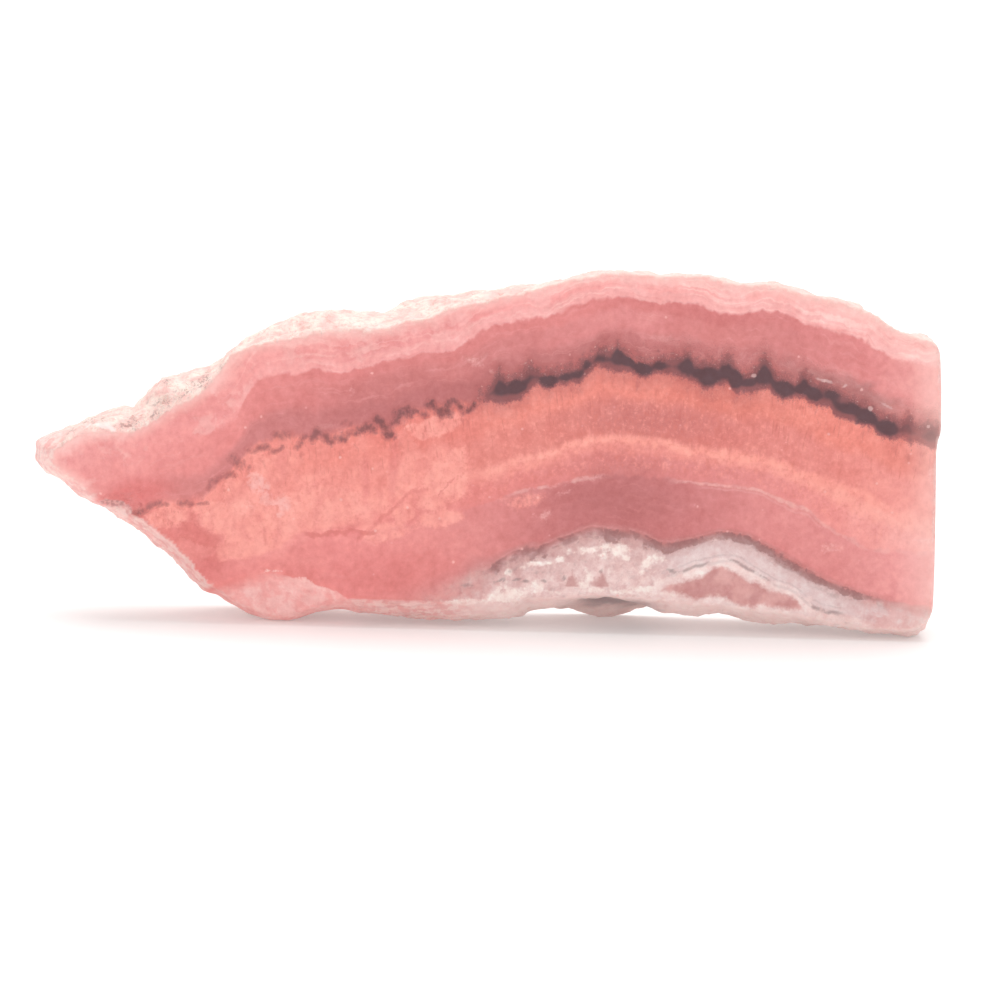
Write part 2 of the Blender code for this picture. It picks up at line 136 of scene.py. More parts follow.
# Local marks on the drawing, each one an ellipse: mid x and z, half its length and half its height
# in mm, its turn in degrees, and how strong it is. A family shares a softness, and how many smaller
# ellipses are scattered around each one.
marks = {
    "deepRose": {"soft": 0.55, "around": 0, "seed": 1, "shapes": [
        (-29.4, 8.8, 4.2, 2.8, -20, 0.95), (-29.4, 11.6, 0.9, 2, 0, 0.8), (-35.4, 14, 3.4, 1.5, 12, 1),
        (-34.6, 11.9, 1.7, 0.9, 10, 0.9), (-17.8, 8.4, 3, 1, 6, 0.5), (-24.5, 6, 9, 2.2, -4, 0.6),
        (-11.5, 6, 7, 2.2, 8, 0.5), (-8.6, 11.9, 2, 0.6, 30, 0.5), (-26, 10.6, 1.2, 0.5, 0, 0.6),
        (-17.2, 12.2, 0.35, 2.4, 4, 0.5), (-12.4, 15.6, 0.4, 2.6, 0, 0.6), (-9.6, 16.8, 0.4, 3.2, -3, 0.6),
        (-15.4, 14.4, 1, 0.22, 4, 0.8), (-16.5, 11.4, 0.6, 0.2, 0, 0.8), (-14.6, 10.7, 1.5, 0.22, 6, 0.8),
        (-20.7, 17.4, 0.6, 1.8, 0, 0.45), (-14.9, 12.9, 1, 0.2, 0, 0.6), (-7.4, 11.4, 2.6, 0.8, 20, 0.35)]},
    "darkRose": {"soft": 0.7, "around": 0, "seed": 2, "shapes": [
        (13, 13.4, 5.4, 1.7, 0, 0.9), (16, 21.6, 6.4, 1.5, -3, 0.5), (7, 11.2, 3.2, 1.1, 14, 0.3),
        (13.4, 16.4, 3.6, 1, 0, 0.55), (-10, 24.6, 6, 1.6, 12, 0.6), (0, 27, 5, 1.6, 24, 0.4)]},
    "peachBlocks": {"soft": 0.3, "around": 2, "seed": 3, "shapes": [
        (-32.2, 11.8, 2.1, 1.1, 6, 0.7), (-24.6, 11.6, 4.4, 1.75, 2, 1), (-16.6, 12.8, 4.2, 2.3, 0, 0.7),
        (-24.4, 8.9, 2.9, 1.25, 10, 1), (-5.8, 13.4, 1.7, 0.8, 15, 0.8), (-8.6, 12.2, 1.2, 1, 20, 0.7),
        (-4.4, 15.4, 2.4, 2.2, 0, 0.8), (-5, 11.6, 2.4, 0.8, 8, 0.8), (-10.6, 10.2, 2.4, 1, 8, 0.6),
        (-5.2, 21, 2.6, 1, 20, 1), (3.6, 13.4, 2, 0.8, 16, 0.5)]},
    "paleBlooms": {"soft": 0.7, "around": 2, "seed": 4, "shapes": [
        (-23.2, 15.2, 0.95, 1.1, 20, 1), (-22.3, 13.6, 0.7, 0.9, 0, 0.9), (-20.6, 13.2, 1, 0.9, 0, 1),
        (-24, 13, 0.6, 0.6, 0, 0.7), (-13.9, 24.4, 0.7, 0.5, 0, 0.6), (-14.7, 19.9, 0.9, 0.5, 0, 0.5),
        (5.5, 12, 0.9, 0.5, 20, 0.7), (7.4, 14.3, 0.8, 0.3, 20, 0.8), (34.2, 8.7, 1.2, 0.5, -10, 0.7),
        (43.4, 9.4, 1.3, 0.25, 0, 0.9), (44.1, 16, 0.5, 1.2, 0, 0.8), (29.6, 19, 1.1, 0.8, -20, 0.4),
        (-1.6, 27.4, 1.4, 0.6, -20, 0.7), (0.6, 26.2, 1, 0.35, -30, 0.6), (-26.8, 21.8, 1.6, 0.5, 10, 0.4)]},
    "bareStone": {"soft": 0.5, "around": 2, "seed": 5, "shapes": [
        (-36.4, 14, 2.8, 1, 12, 1), (-35, 12.9, 0.9, 1, 0, 1)]},
    "whiteCrest": {"soft": 0.7, "around": 2, "seed": 6, "shapes": [
        (1.9, 6.2, 0.4, 0.35, 60, 1), (3.3, 6.7, 0.5, 0.22, 20, 0.6), (4.6, 7.1, 0.9, 0.25, 0, 1),
        (5.8, 7.2, 0.6, 0.22, 0, 0.8), (7, 7.5, 0.5, 0.28, 10, 1), (7.9, 8.3, 0.5, 0.25, 45, 0.6),
        (10, 8.4, 0.9, 0.35, 4, 0.8), (11.5, 8.8, 1, 0.4, 8, 0.8), (13, 8.4, 0.9, 0.6, 0, 1),
        (15.6, 7.1, 0.45, 0.45, 0, 1), (16.5, 7.6, 1, 0.5, 10, 0.6), (15.2, 6.2, 0.4, 0.3, 30, 0.7),
        (11.3, 7.9, 0.8, 0.3, 0, 0.6), (13.4, 4.2, 1.6, 0.3, 0, 0.7), (1.6, 3.8, 2.4, 0.6, 12, 1),
        (4.6, 5, 0.6, 0.5, 0, 0.8), (9.9, 5.6, 0.4, 0.7, 0, 0.9), (9.4, 4.9, 0.6, 0.35, -30, 0.8),
        (10.4, 4.4, 1.2, 0.3, 0, 0.7), (15.6, 4.5, 1.6, 0.28, 4, 1), (16.9, 5.2, 0.8, 0.4, 40, 0.7),
        (17.6, 4, 1, 0.22, -10, 0.8), (20.8, 6.1, 0.9, 0.3, 20, 0.9), (-2.4, 3.2, 2.6, 0.3, 2, 0.9),
        (3.6, 4.4, 2.2, 0.5, 10, 0.6)]},
    # grey specks of the matrix; the widest one, low at x 12.4, is painted shade on the foot under the matrix
    "greyMatrix": {"soft": 0.7, "around": 2, "seed": 7, "shapes": [
        (1, 5.4, 0.8, 0.16, 25, 0.9), (2.8, 5.5, 0.35, 0.18, 0, 0.8), (3.6, 5.3, 0.4, 0.18, 0, 0.9),
        (5.4, 5.3, 0.4, 0.18, -20, 0.8), (7.4, 5.6, 0.22, 0.22, 0, 0.9), (11.1, 6.3, 0.25, 0.3, 0, 0.7),
        (18.2, 6.3, 0.6, 0.25, -20, 0.8), (12.4, 2.6, 3.6, 0.7, 0, 1), (16.2, 8.9, 1.2, 0.5, -20, 0.6),
        (2.2, 6.4, 1.6, 0.3, 36, 0.5), (5.2, 6.2, 1.6, 0.3, 4, 0.5), (9, 7.2, 1, 0.3, 20, 0.4),
        (33.4, 4.4, 2.6, 0.4, -24, 0.5), (-2.4, 4.9, 0.7, 0.2, 0, 0.7)]},
    "rimPatches": {"soft": 0.7, "around": 2, "seed": 13, "shapes": [
        (1.2, 7.1, 0.35, 0.25, 0, 0.6), (0.5, 6.8, 1.1, 0.18, 30, 0.6), (2.4, 7.6, 0.8, 0.3, 35, 0.7),
        (3.5, 8.3, 0.65, 0.45, 20, 0.9), (4.8, 8.2, 0.9, 0.35, -4, 0.75), (6.6, 8.8, 0.7, 0.16, 20, 0.6),
        (7.9, 9.4, 0.95, 0.35, 22, 1), (10.2, 10.1, 1, 0.3, 8, 0.6), (13.2, 10, 1.2, 0.32, -8, 0.8),
        (14.6, 9.9, 0.4, 0.32, 0, 1), (17.4, 8.6, 0.7, 0.25, 10, 0.6), (19.2, 8.9, 1.1, 0.28, 6, 0.9),
        (21.2, 9.4, 1, 0.28, 14, 0.8), (23.3, 9.7, 1.1, 0.24, 0, 0.9), (25.2, 9.3, 1, 0.25, -16, 0.8),
        (26.7, 8.7, 0.8, 0.35, -35, 0.8), (29.2, 7.1, 1.6, 0.35, -32, 0.9), (31.6, 5.9, 1.4, 0.35, -28, 1),
        (34.2, 4.8, 1.6, 0.3, -22, 0.9), (37.4, 3.6, 1.6, 0.25, -16, 0.6), (-2.4, 4.9, 0.7, 0.2, 0, 0.4),
        (-3, 4.2, 0.25, 0.6, 0, 0.4), (-1.9, 4.6, 0.3, 0.3, 0, 0.4)]},
    "chipped": {"soft": 0.5, "around": 3, "seed": 8, "shapes": [
        (-18.5, 5.3, 0.8, 0.3, -10, 0.9), (-16.4, 4.4, 0.9, 0.35, -25, 0.7), (-22, 6.3, 1.2, 0.18, 8, 0.7)]},
    "greyFlake": {"soft": 0.4, "around": 3, "seed": 14, "shapes": [
        (-36.9, 12.6, 1.25, 0.65, -25, 1), (-38, 13.1, 0.7, 0.4, -30, 0.9)]},
    # a white crescent on the crust at the tip: a painted highlight
    "glossyWhite": {"soft": 0.5, "around": 1, "seed": 15, "shapes": [
        (-39.9, 21.2, 1.1, 0.3, 12, 1), (-38.6, 21, 0.9, 0.3, -14, 1), (-37.7, 20.7, 0.6, 0.2, -30, 0.8)]},
    "smoke": {"soft": 0.6, "around": 3, "seed": 9, "shapes": [
        (33, 25.5, 2.9, 0.9, -16, 1), (37.4, 23.8, 2.6, 0.8, -24, 1), (12.4, 28.9, 1.9, 0.35, 0, 1),
        (5, 26.8, 1.2, 0.5, 20, 0.6), (21.5, 27.6, 2.4, 0.5, -4, 0.5), (-0.6, 27.6, 1.6, 0.5, 20, 0.8),
        (28, 27.4, 2, 0.4, -10, 0.6), (-15.6, 20.8, 1.3, 0.5, 0, 0.6), (40.6, 21.4, 1.4, 0.6, -30, 0.7)]},
    "seamCores": {"soft": 0.8, "around": 1, "seed": 10, "shapes": [
        (2.6, 25, 0.75, 0.65, 0, 1), (1.3, 24.8, 0.6, 0.6, 0, 0.55), (5.8, 25.4, 0.95, 0.65, 0, 1),
        (7.5, 25.9, 0.6, 0.5, 0, 0.75), (8.5, 26.1, 0.7, 0.45, 0, 0.65), (9.6, 27.2, 0.4, 0.5, 0, 0.7),
        (10.9, 27.7, 0.6, 0.5, 0, 0.45), (12.8, 28, 0.55, 0.7, 0, 1), (13.7, 27.6, 0.9, 0.5, -20, 1),
        (15.2, 26.7, 0.95, 0.75, -15, 1), (16.8, 27, 0.65, 0.5, 0, 0.8), (19.5, 26.9, 0.65, 0.8, -10, 0.75),
        (20.6, 26.2, 0.5, 0.5, 0, 0.7), (21.8, 25.9, 1.05, 0.85, 0, 1), (23.5, 26.4, 0.6, 0.7, 0, 0.7),
        (24.4, 25.8, 0.7, 0.85, -20, 1), (25.6, 25.3, 0.7, 0.4, 0, 0.55), (27.2, 25.8, 0.65, 0.9, 0, 0.65),
        (29.3, 24.7, 0.95, 0.8, -25, 1), (31.3, 25.3, 0.4, 0.4, 0, 0.6), (31.2, 24.6, 1, 0.45, -8, 1),
        (32.2, 24.2, 0.6, 0.6, 0, 1), (34.1, 24.2, 0.85, 0.4, -14, 0.8), (35.9, 22.7, 1, 0.42, 0, 0.95),
        (37.5, 21.9, 0.95, 0.8, -20, 1), (39.5, 20.8, 0.9, 0.8, -25, 1), (41.2, 20.7, 0.5, 0.5, 0, 0.5),
        (41.7, 19.4, 0.4, 0.3, 0, 0.5), (43.8, 20, 0.6, 0.8, 0, 0.3)]},
    "seamFlecks": {"soft": 0.5, "around": 1, "seed": 16, "shapes": [
        (26.2, 26, 0.3, 0.22, 0, 1), (33.2, 25.5, 1, 0.16, -14, 1), (35.3, 25, 0.4, 0.14, 30, 0.9),
        (37.8, 22.7, 0.24, 0.3, 20, 1), (39.4, 23, 0.9, 0.16, -30, 0.8), (43.6, 20.9, 0.2, 0.2, 0, 0.9),
        (18, 28.2, 0.7, 0.12, 8, 0.5), (3.4, 27.2, 0.5, 0.12, 20, 0.5)]},
    "crustCracks": {"soft": 0.6, "around": 3, "seed": 12, "shapes": [
        (-32.3, 25.3, 0.5, 0.5, -30, 1), (-29, 25, 0.8, 0.45, 30, 1), (-28.2, 25.6, 0.4, 0.5, 0, 0.9),
        (-32.7, 23.2, 1.2, 0.3, 10, 0.9), (-30.5, 24.1, 0.9, 0.3, 30, 0.9), (-33.2, 22.1, 1, 0.35, 20, 0.9),
        (-36.2, 20.9, 1.2, 0.42, 6, 1), (-40.2, 21.2, 1, 0.22, 20, 1), (-38.4, 21.4, 0.6, 0.2, 0, 0.9),
        (-42.2, 20.4, 0.9, 0.45, 35, 1), (-44.6, 16.8, 0.3, 0.6, 40, 0.6), (-43.8, 15.4, 0.4, 0.3, 40, 0.9),
        (-26.4, 26.8, 0.8, 0.3, 30, 0.7), (-5.6, 33.2, 0.5, 0.2, 10, 0.6), (-4.4, 33.5, 0.4, 0.2, 0, 0.6)]},
}
scatter = {"reach": (0.7, 1.35), "size": (0.25, 0.55), "turn": (-40, 40), "strength": (0.6, 1)}

# The seam's thin left part: short brown strokes, each with half its thickness in mm, how dark it
# is from 0 to 1, and its course
seamStrokes = [
    (0.26, 0.9, [(-35.4, 12), (-34.3, 12.6), (-33.7, 13), (-32.9, 13.2)]),
    (0.18, 0.8, [(-32.6, 13.1), (-32.2, 13.1)]), (0.25, 0.8, [(-30.9, 13.2), (-29.8, 13.1)]),
    (0.14, 0.6, [(-29.2, 13.1), (-28.2, 13.2)]), (0.2, 0.5, [(-28.1, 14.6), (-27.8, 15.3)]),
    (0.26, 0.6, [(-27.8, 15.3), (-26.8, 15.8), (-25.5, 16.1)]), (0.42, 0.75, [(-25.7, 17.8), (-24.9, 17.1)]),
    (0.2, 0.5, [(-24.9, 17.1), (-24, 16.8)]), (0.2, 0.7, [(-24, 18.4), (-23.4, 18.4)]),
    (0.28, 1, [(-23, 18.7), (-22.2, 18.8)]), (0.18, 0.8, [(-21.7, 18.4), (-21.3, 18.4), (-20.7, 18.8)]),
    (0.38, 0.8, [(-21.3, 20), (-20.1, 20)]), (0.26, 0.8, [(-19.2, 18.8), (-18.9, 19.2), (-18.4, 19.9)]),
    (0.34, 1.1, [(-17.7, 19.6), (-17.3, 20.4), (-16.6, 20), (-15.9, 19.3)]),
    (0.3, 0.5, [(-14.9, 21.2), (-14, 21.3)]), (0.28, 1, [(-15, 19.6), (-14.5, 19.6)]),
    (0.26, 0.9, [(-14, 20.2), (-13, 20.2)]), (0.42, 1.1, [(-12.7, 20.5), (-12.2, 20.8), (-11.6, 20.7)]),
    (0.46, 1.3, [(-11.2, 21.6), (-10.7, 21), (-10, 20.1)]), (0.16, 0.8, [(-9.7, 19.9), (-9.5, 19.7)]),
    (0.62, 1.1, [(-9.2, 21.8), (-8.8, 22.2), (-8.2, 22.4)]),
    (0.3, 0.9, [(-7.6, 22.5), (-6.9, 22.3), (-6.4, 22.1)]),
    (0.42, 1.1, [(-6.1, 22.9), (-5.8, 23.3), (-5.4, 22.8)]),
    (0.46, 1.1, [(-5.1, 22.6), (-4.7, 22.3), (-4.2, 22.3)]),
    (0.38, 1, [(-4.2, 23), (-3.8, 23.6), (-3.3, 23.3)]),
    (0.28, 1, [(-3, 22.9), (-2.6, 22.3), (-2.1, 22.4), (-1.6, 23)]),
    (0.34, 0.6, [(-1.4, 23.3), (-0.7, 23.5)]),
    (0.28, 0.6, [
        (-16, 19.6), (-15, 19.8), (-13.5, 20.4), (-12.2, 20.7), (-11, 21.2), (-10, 21), (-9.2, 22),
        (-8.2, 22.3), (-7, 22.4), (-6.5, 22.1), (-5.8, 23.3), (-5, 22.2), (-4.2, 22.3), (-3.8, 23.5),
        (-2.6, 22.3), (-1.7, 23), (-0.7, 23.5)]),
]

# Two small pink crystals cut through near the bottom: mid x, base z, half width, height
wedges = [(8.2, 4.8, 0.7, 1.5), (11.2, 4.8, 0.68, 1.5)]


def tone(red, green, blue):
    # an sRGB colour, 0 to 255, as the linear colour that a shader takes
    def linear(part):
        part /= 255
        return part / 12.92 if part <= 0.04045 else ((part + 0.055) / 1.055) ** 2.4

    return (linear(red), linear(green), linear(blue), 1.0)


# The stone's mesh

stone = {
    "voxel": 0.32 * mm,
    "weld": 0.001 * mm,  # how near the solid's loose corners are joined
    "snap": 0.16 * mm,  # how near a sawn plane a point is put on it
    "onPlane": 0.016 * mm,  # how near it then counts as on it
    "faceSquare": 0.9,  # how square to the front or back a point's normal is there, 1 for fully
    "endSquare": 0.85,  # the same for the sawn end
    "endFrom": 43.4,  # drawing x past which a face square to x is the sawn end
    "skinFade": 0.45,  # mm over which the rough skin starts beside a sawn face
    "skinReach": 3.0,  # mm from a sawn face up to which the skin's distance from it is known
    "glowReach": 6.0,  # mm from the edge within which a sawn face can get a painted glow
    "frontDepth": -6.0,  # mm from the middle to the front face, where the bands are as drawn
    "leanX": 0.10,  # how the bands lean through the thickness
    "leanZ": 0.06,
    "thinnest": 0.05,  # mm that two band lines are taken to be apart at least
    "foldStep": 0.5,  # mm between samples of the seam's slope, and over how many mm it is averaged
    "foldSmooth": 9.0,
    "columnLean": 0.4,  # how much the columns follow that slope
    "edgeReach": 3.0,  # mm up to which the distance inside a drawn shape is known
    "farOff": 9.0,  # mm that stand for beyond a line's end
    "easedReach": 0.6,  # mm beside a sawn edge that is eased, and how many times
    "easedRounds": 4,
    "tipFrom": -36.5,  # drawing x from which the worn tip grows rounder, to full at tipFull
    "tipFull": -41.5,
    "tipReach": 2.2,
    "tipRounds": 30,
    "chipDepth": 0.8,  # mm that the shell-shaped chip goes in, over how wide a slope and thickness
    "chipSlope": 1.6,
    "chipFade": 4.0 * mm,
    "chipBare": (0.3, 0.8),  # mm above the chip's line where its bare stone starts, and its softness
    "seamRefined": 2.0,  # layer heights about the seam where the front's mesh is finer
    "matrixRefined": (-7.0, 36.0, 1.4),  # the same for the matrix: drawing x, x and top layer
}


def copyOfNode(node, name):
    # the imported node's mesh with its loose triangles joined, as an object of its own
    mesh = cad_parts[node].data.copy()
    mesh.name = name
    mesh.materials.clear()
    joined = bmesh.new()
    joined.from_mesh(mesh)
    bmesh.ops.remove_doubles(joined, verts=joined.verts, dist=stone["weld"])
    joined.to_mesh(mesh)
    joined.free()
    piece = bpy.data.objects.new(name, mesh)
    bpy.context.scene.collection.objects.link(piece)
    return piece


def settle(piece):
    # turn what the modifiers make into the piece's plain mesh, and drop the modifiers
    graph = bpy.context.evaluated_depsgraph_get()
    mesh = bpy.data.meshes.new_from_object(piece.evaluated_get(graph))
    piece.modifiers.clear()
    old = piece.data
    piece.data = mesh
    bpy.data.meshes.remove(old)
    mesh.name = piece.name


def readTriples(items, name):
    triples = np.empty(len(items) * 3)
    items.foreach_get(name, triples)
    return triples.reshape(-1, 3)


def movePoints(mesh, places):
    mesh.vertices.foreach_set("co", places.ravel())
    mesh.update()


def asDrawn(places):
    # places in metres on the table, as mm on the drawing: x, depth from the middle, z
    turn = drawing["turn"]
    x = places[:, 0] / mm - drawing["shiftX"]
    z = places[:, 2] / mm - drawing["shiftZ"]
    drawnX = math.cos(turn) * x + math.sin(turn) * z
    drawnZ = -math.sin(turn) * x + math.cos(turn) * z
    return np.stack([drawnX, places[:, 1] / mm, drawnZ], axis=1)


def curveAt(points, x):
    xs, zs = zip(*points)
    return np.interp(x, xs, zs)


def leaned(drawn):
    # x and z where the front face has the same bands, which run a little aslant through the thickness
    x, depth, z = drawn.T
    behind = depth - stone["frontDepth"]
    return x + stone["leanX"] * behind, z - stone["leanZ"] * behind


def easedCurve(line, x):
    # a band line's height, its corners rounded over the reach it is given
    reach = line.get("eased", 0)
    return np.mean([curveAt(line["points"], x + reach * step) for step in (-1, -0.5, 0, 0.5, 1)], axis=0)


def layerHeights(drawn):
    # the layer height at each point, between the two band lines it lies between
    leanX, leanZ = leaned(drawn)
    lines = sorted(bandLines.values(), key=lambda line: line["layer"])
    heights = np.array([easedCurve(line, leanX) for line in lines])
    layers = [line["layer"] for line in lines]
    layer = layers[0] + (leanZ - heights[0])
    for low, high, lowLayer, highLayer in zip(heights, heights[1:], layers, layers[1:]):
        share = (leanZ - low) / np.maximum(high - low, stone["thinnest"])
        within = lowLayer + share * (highLayer - lowLayer)
        layer = np.where(leanZ > low, within, layer)
    return np.where(leanZ > heights[-1], layers[-1] + leanZ - heights[-1], layer)


def between(drawn, edges):
    # mm inside a shape drawn by its upper and lower edges, and less than nothing outside it
    x, z = leaned(drawn)
    top, bottom = edges["top"], edges["bottom"]
    inside = np.minimum(curveAt(top, x) - z, z - curveAt(bottom, x))
    inside = np.minimum(inside, x - top[0][0])
    if top[-1][0] < drawing["right"]:
        inside = np.minimum(inside, top[-1][0] - x)
    return np.clip(inside, -stone["edgeReach"], stone["edgeReach"])


def alongBands(drawn):
    # a coordinate that stays the same along a column, square to the seam
    x, _, z = drawn.T
    samples = np.arange(drawing["left"], drawing["right"], stone["foldStep"])
    seam = curveAt(bandLines["seam"]["points"], samples)
    width = int(stone["foldSmooth"] / stone["foldStep"])
    padded = np.pad(seam, width, mode="edge")
    smooth = np.convolve(padded, np.ones(width) / width, mode="same")[width:-width]
    slope = np.gradient(smooth, samples)
    return x + stone["columnLean"] * np.interp(x, samples, slope) * (z - np.interp(x, samples, smooth))


def ragged(shapes, around, seed):
    # the shapes, each with some smaller ones scattered about its edge
    chance = np.random.default_rng(seed)
    made = list(shapes)
    for midX, midZ, halfX, halfZ, turn, strength in shapes:
        for _ in range(around):
            angle = chance.uniform(0, 2 * math.pi)
            reach = chance.uniform(*scatter["reach"])
            size = chance.uniform(*scatter["size"])
            made.append((
                midX + reach * halfX * math.cos(angle), midZ + reach * halfZ * math.sin(angle),
                size * halfX, size * halfZ, turn + chance.uniform(*scatter["turn"]),
                strength * chance.uniform(*scatter["strength"]),
            ))
    return made


def easeArray(share):
    share = np.clip(share, 0.0, 1.0)
    return share * share * (3 - 2 * share)


def markField(drawn, family):
    # how far each point is inside a family's ellipses, 0 to 1
    x, _, z = drawn.T
    soft = family["soft"]
    field = np.zeros(len(drawn))
    shapes = ragged(family["shapes"], family["around"], family["seed"])
    for midX, midZ, halfX, halfZ, turn, strength in shapes:
        cosine, sine = math.cos(math.radians(turn)), math.sin(math.radians(turn))
        acrossX = (x - midX) * cosine + (z - midZ) * sine
        acrossZ = (z - midZ) * cosine - (x - midX) * sine
        reach = np.hypot(acrossX / halfX, acrossZ / halfZ)
        field = np.maximum(field, strength * (1 - easeArray((reach - 1 + soft) / (2 * soft))))
    return field


def strokeField(drawn):
    # how dark the seam's strokes make each point, from the middle of a stroke to its edge
    place = np.stack(leaned(drawn), axis=1)
    field = np.zeros(len(drawn))
    for half, strength, points in seamStrokes:
        ends = np.array(points)
        near = np.abs(place[:, 0] - ends[:, 0].mean()) < np.ptp(ends[:, 0]) / 2 + 2 * half
        away = np.full(int(near.sum()), stone["farOff"])
        for start, finish in zip(ends[:-1], ends[1:]):
            run = finish - start
            share = np.clip(((place[near] - start) @ run) / (run @ run), 0, 1)
            away = np.minimum(away, np.linalg.norm(place[near] - start - share[:, None] * run, axis=1))
        field[near] = np.maximum(field[near], strength * (1 - easeArray(away / (2 * half))))
    return field


def underLine(drawn, points):
    # mm below a line on the drawing, and less than nothing above it and beyond its ends
    x, _, z = drawn.T
    below = curveAt(points, x) - z
    beyond = np.maximum(points[0][0] - x, x - points[-1][0])
    return np.minimum(below, -beyond)


def aboveLine(drawn, points):
    # mm above a line on the drawing, and far off beyond its ends
    x, _, z = drawn.T
    beside = (x > points[0][0]) & (x < points[-1][0])
    return np.where(beside, z - curveAt(points, x), stone["farOff"])


def nearest(places, chosen, reach):
    # distance in mm from every point to the nearest chosen one, up to a reach
    tree = KDTree(int(chosen.sum()))
    for index in np.flatnonzero(chosen):
        tree.insert(places[index], int(index))
    tree.balance()
    return np.array([min(tree.find(place)[2] / mm, reach) for place in places])


def relax(mesh, places, weights, rounds):
    # move points towards the middle of their neighbours, by their weights
    pairs = np.empty(len(mesh.edges) * 2, dtype=np.int32)
    mesh.edges.foreach_get("vertices", pairs)
    pairs = pairs.reshape(-1, 2)
    here = np.concatenate([pairs[:, 0], pairs[:, 1]])
    there = np.concatenate([pairs[:, 1], pairs[:, 0]])
    count = np.maximum(np.bincount(here, minlength=len(places)), 1)
    for _ in range(rounds):
        for axis in range(3):
            total = np.bincount(here, places[there, axis], len(places))
            places[:, axis] += 0.5 * weights * (total / count - places[:, axis])


def flattenFaces(mesh, faces):
    # put the points beside the front and back planes on them
    places = readTriples(mesh.vertices, "co")
    normals = readTriples(mesh.vertices, "normal")
    for y, outwards in zip(faces, (-1, 1)):
        beside = np.abs(places[:, 1] - y) < stone["snap"]
        places[beside & (outwards * normals[:, 1] > stone["faceSquare"]), 1] = y
    mesh.vertices.foreach_set("co", places.ravel())


def refineFront(mesh, frontY):
    # split the front's faces in four where the marks have crisp edges
    middles = readTriples(mesh.polygons, "center")
    drawn = asDrawn(middles)
    layer = layerHeights(drawn)
    left, right, top = stone["matrixRefined"]
    onSeam = np.abs(layer - bandLines["seam"]["layer"]) < stone["seamRefined"]
    inMatrix = (layer < top) & (drawn[:, 0] > left) & (drawn[:, 0] < right)
    chosen = (np.abs(middles[:, 1] - frontY) < stone["onPlane"]) & (onSeam | inMatrix)
    finer = bmesh.new()
    finer.from_mesh(mesh)
    edges = {edge for face in finer.faces if chosen[face.index] for edge in face.edges}
    bmesh.ops.subdivide_edges(finer, edges=list(edges), cuts=1, use_grid_fill=True)
    finer.to_mesh(mesh)
    finer.free()
    mesh.update()


def storeField(mesh, name, values):
    kind, part = ("FLOAT_VECTOR", "vector") if values.ndim == 2 else ("FLOAT", "value")
    field = mesh.attributes.new(name, kind, "POINT")
    field.data.foreach_set(part, values.astype(np.float32).ravel())


def meshStone():
    piece = copyOfNode("slice", "banded_slice")
    remesh = piece.modifiers.new("fineMesh", "REMESH")
    remesh.mode = "VOXEL"
    remesh.voxel_size = stone["voxel"]
    settle(piece)
    mesh = piece.data
    faces = [corner[1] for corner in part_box("slice")]
    flattenFaces(mesh, faces)
    refineFront(mesh, faces[0])

    places = readTriples(mesh.vertices, "co")
    normals = readTriples(mesh.vertices, "normal")
    drawn = asDrawn(places)
    rim = np.min([np.abs(places[:, 1] - y) for y in faces], axis=0) >= stone["onPlane"]
    end = (drawn[:, 0] > stone["endFrom"]) & (normals[:, 0] > stone["endSquare"])
    fromFlat = nearest(places, ~rim | end, stone["skinReach"])
    fromRim = nearest(places, rim, stone["glowReach"])
    fromEdge = np.maximum(fromFlat, fromRim)

    # ease the sawn edges, round the tip and press the chip in
    relax(mesh, places, 1 - easeArray(fromEdge / stone["easedReach"]), stone["easedRounds"])
    tipShare = easeArray((stone["tipFrom"] - drawn[:, 0]) / (stone["tipFrom"] - stone["tipFull"]))
    relax(mesh, places, tipShare * (1 - easeArray(fromEdge / stone["tipReach"])), stone["tipRounds"])
    inChip = underLine(drawn, chipEdge)
    behind = (places[:, 1] - faces[0]) / stone["chipFade"]
    press = stone["chipDepth"] * easeArray(inChip / stone["chipSlope"]) * mm
    places[:, 1] += press * np.clip(1 - behind, 0, 1)
    movePoints(mesh, places)

    # what the finishes need to know at each point
    above, soft = stone["chipBare"]
    behind = (places[:, 1] - faces[0]) / stone["chipFade"]
    bare = easeArray((inChip + above) / soft) * (1 - easeArray(behind - 0.5))
    fields = {
        "drawn": drawn, "layer": layerHeights(drawn), "along": alongBands(drawn),
        "skin": easeArray(fromFlat / stone["skinFade"]) * (1 - bare), "skinDepth": fromFlat,
        "sawnEnd": end.astype(float), "edgeDistance": fromRim, "chip": inChip,
        "seamInside": between(drawn, seamEdges), "lensInside": between(drawn, lensEdges),
        "seamStrokes": strokeField(drawn),
    }
    for name, family in marks.items():
        fields[name] = markField(drawn, family)
    for name, points in cracks.items():
        fields[name] = aboveLine(drawn, points)
    for name, values in fields.items():
        storeField(mesh, name, values)
    print("stone meshed:", len(mesh.vertices), "points")
    return piece


# Building node trees. The helpers add to the tree that was begun last. A mask is one output of a
# node, and + - * / ** and abs on masks make Math nodes.

building = {"tree": None}


def begin(tree):
    building["tree"] = tree
    return tree


def formula(operation, turned=False):
    # what an operator between a mask and another value does
    def made(mask, other):
        return calc(operation, other, mask) if turned else calc(operation, mask, other)

    return made


class Mask:
    __add__, __radd__ = formula("ADD"), formula("ADD", True)
    __sub__, __rsub__ = formula("SUBTRACT"), formula("SUBTRACT", True)
    __truediv__, __rtruediv__ = formula("DIVIDE"), formula("DIVIDE", True)
    __mul__, __pow__ = formula("MULTIPLY"), formula("POWER")

    def __init__(self, socket):
        self.socket = socket

    def __abs__(self):
        return calc("ABSOLUTE", self)


def wire(socket, value):
    # link a mask to a node's input, or set the input to a plain value
    if isinstance(value, Mask):
        building["tree"].links.new(value.socket, socket)
    else:
        socket.default_value = value


def output(node, key=0):
    return Mask(node.outputs[key])


def addNode(kind, inputs=None, **settings):
    node = building["tree"].nodes.new(kind)
    for name, value in settings.items():
        setattr(node, name, value)
    for key, value in (inputs or {}).items():
        wire(node.inputs[key], value)
    return node


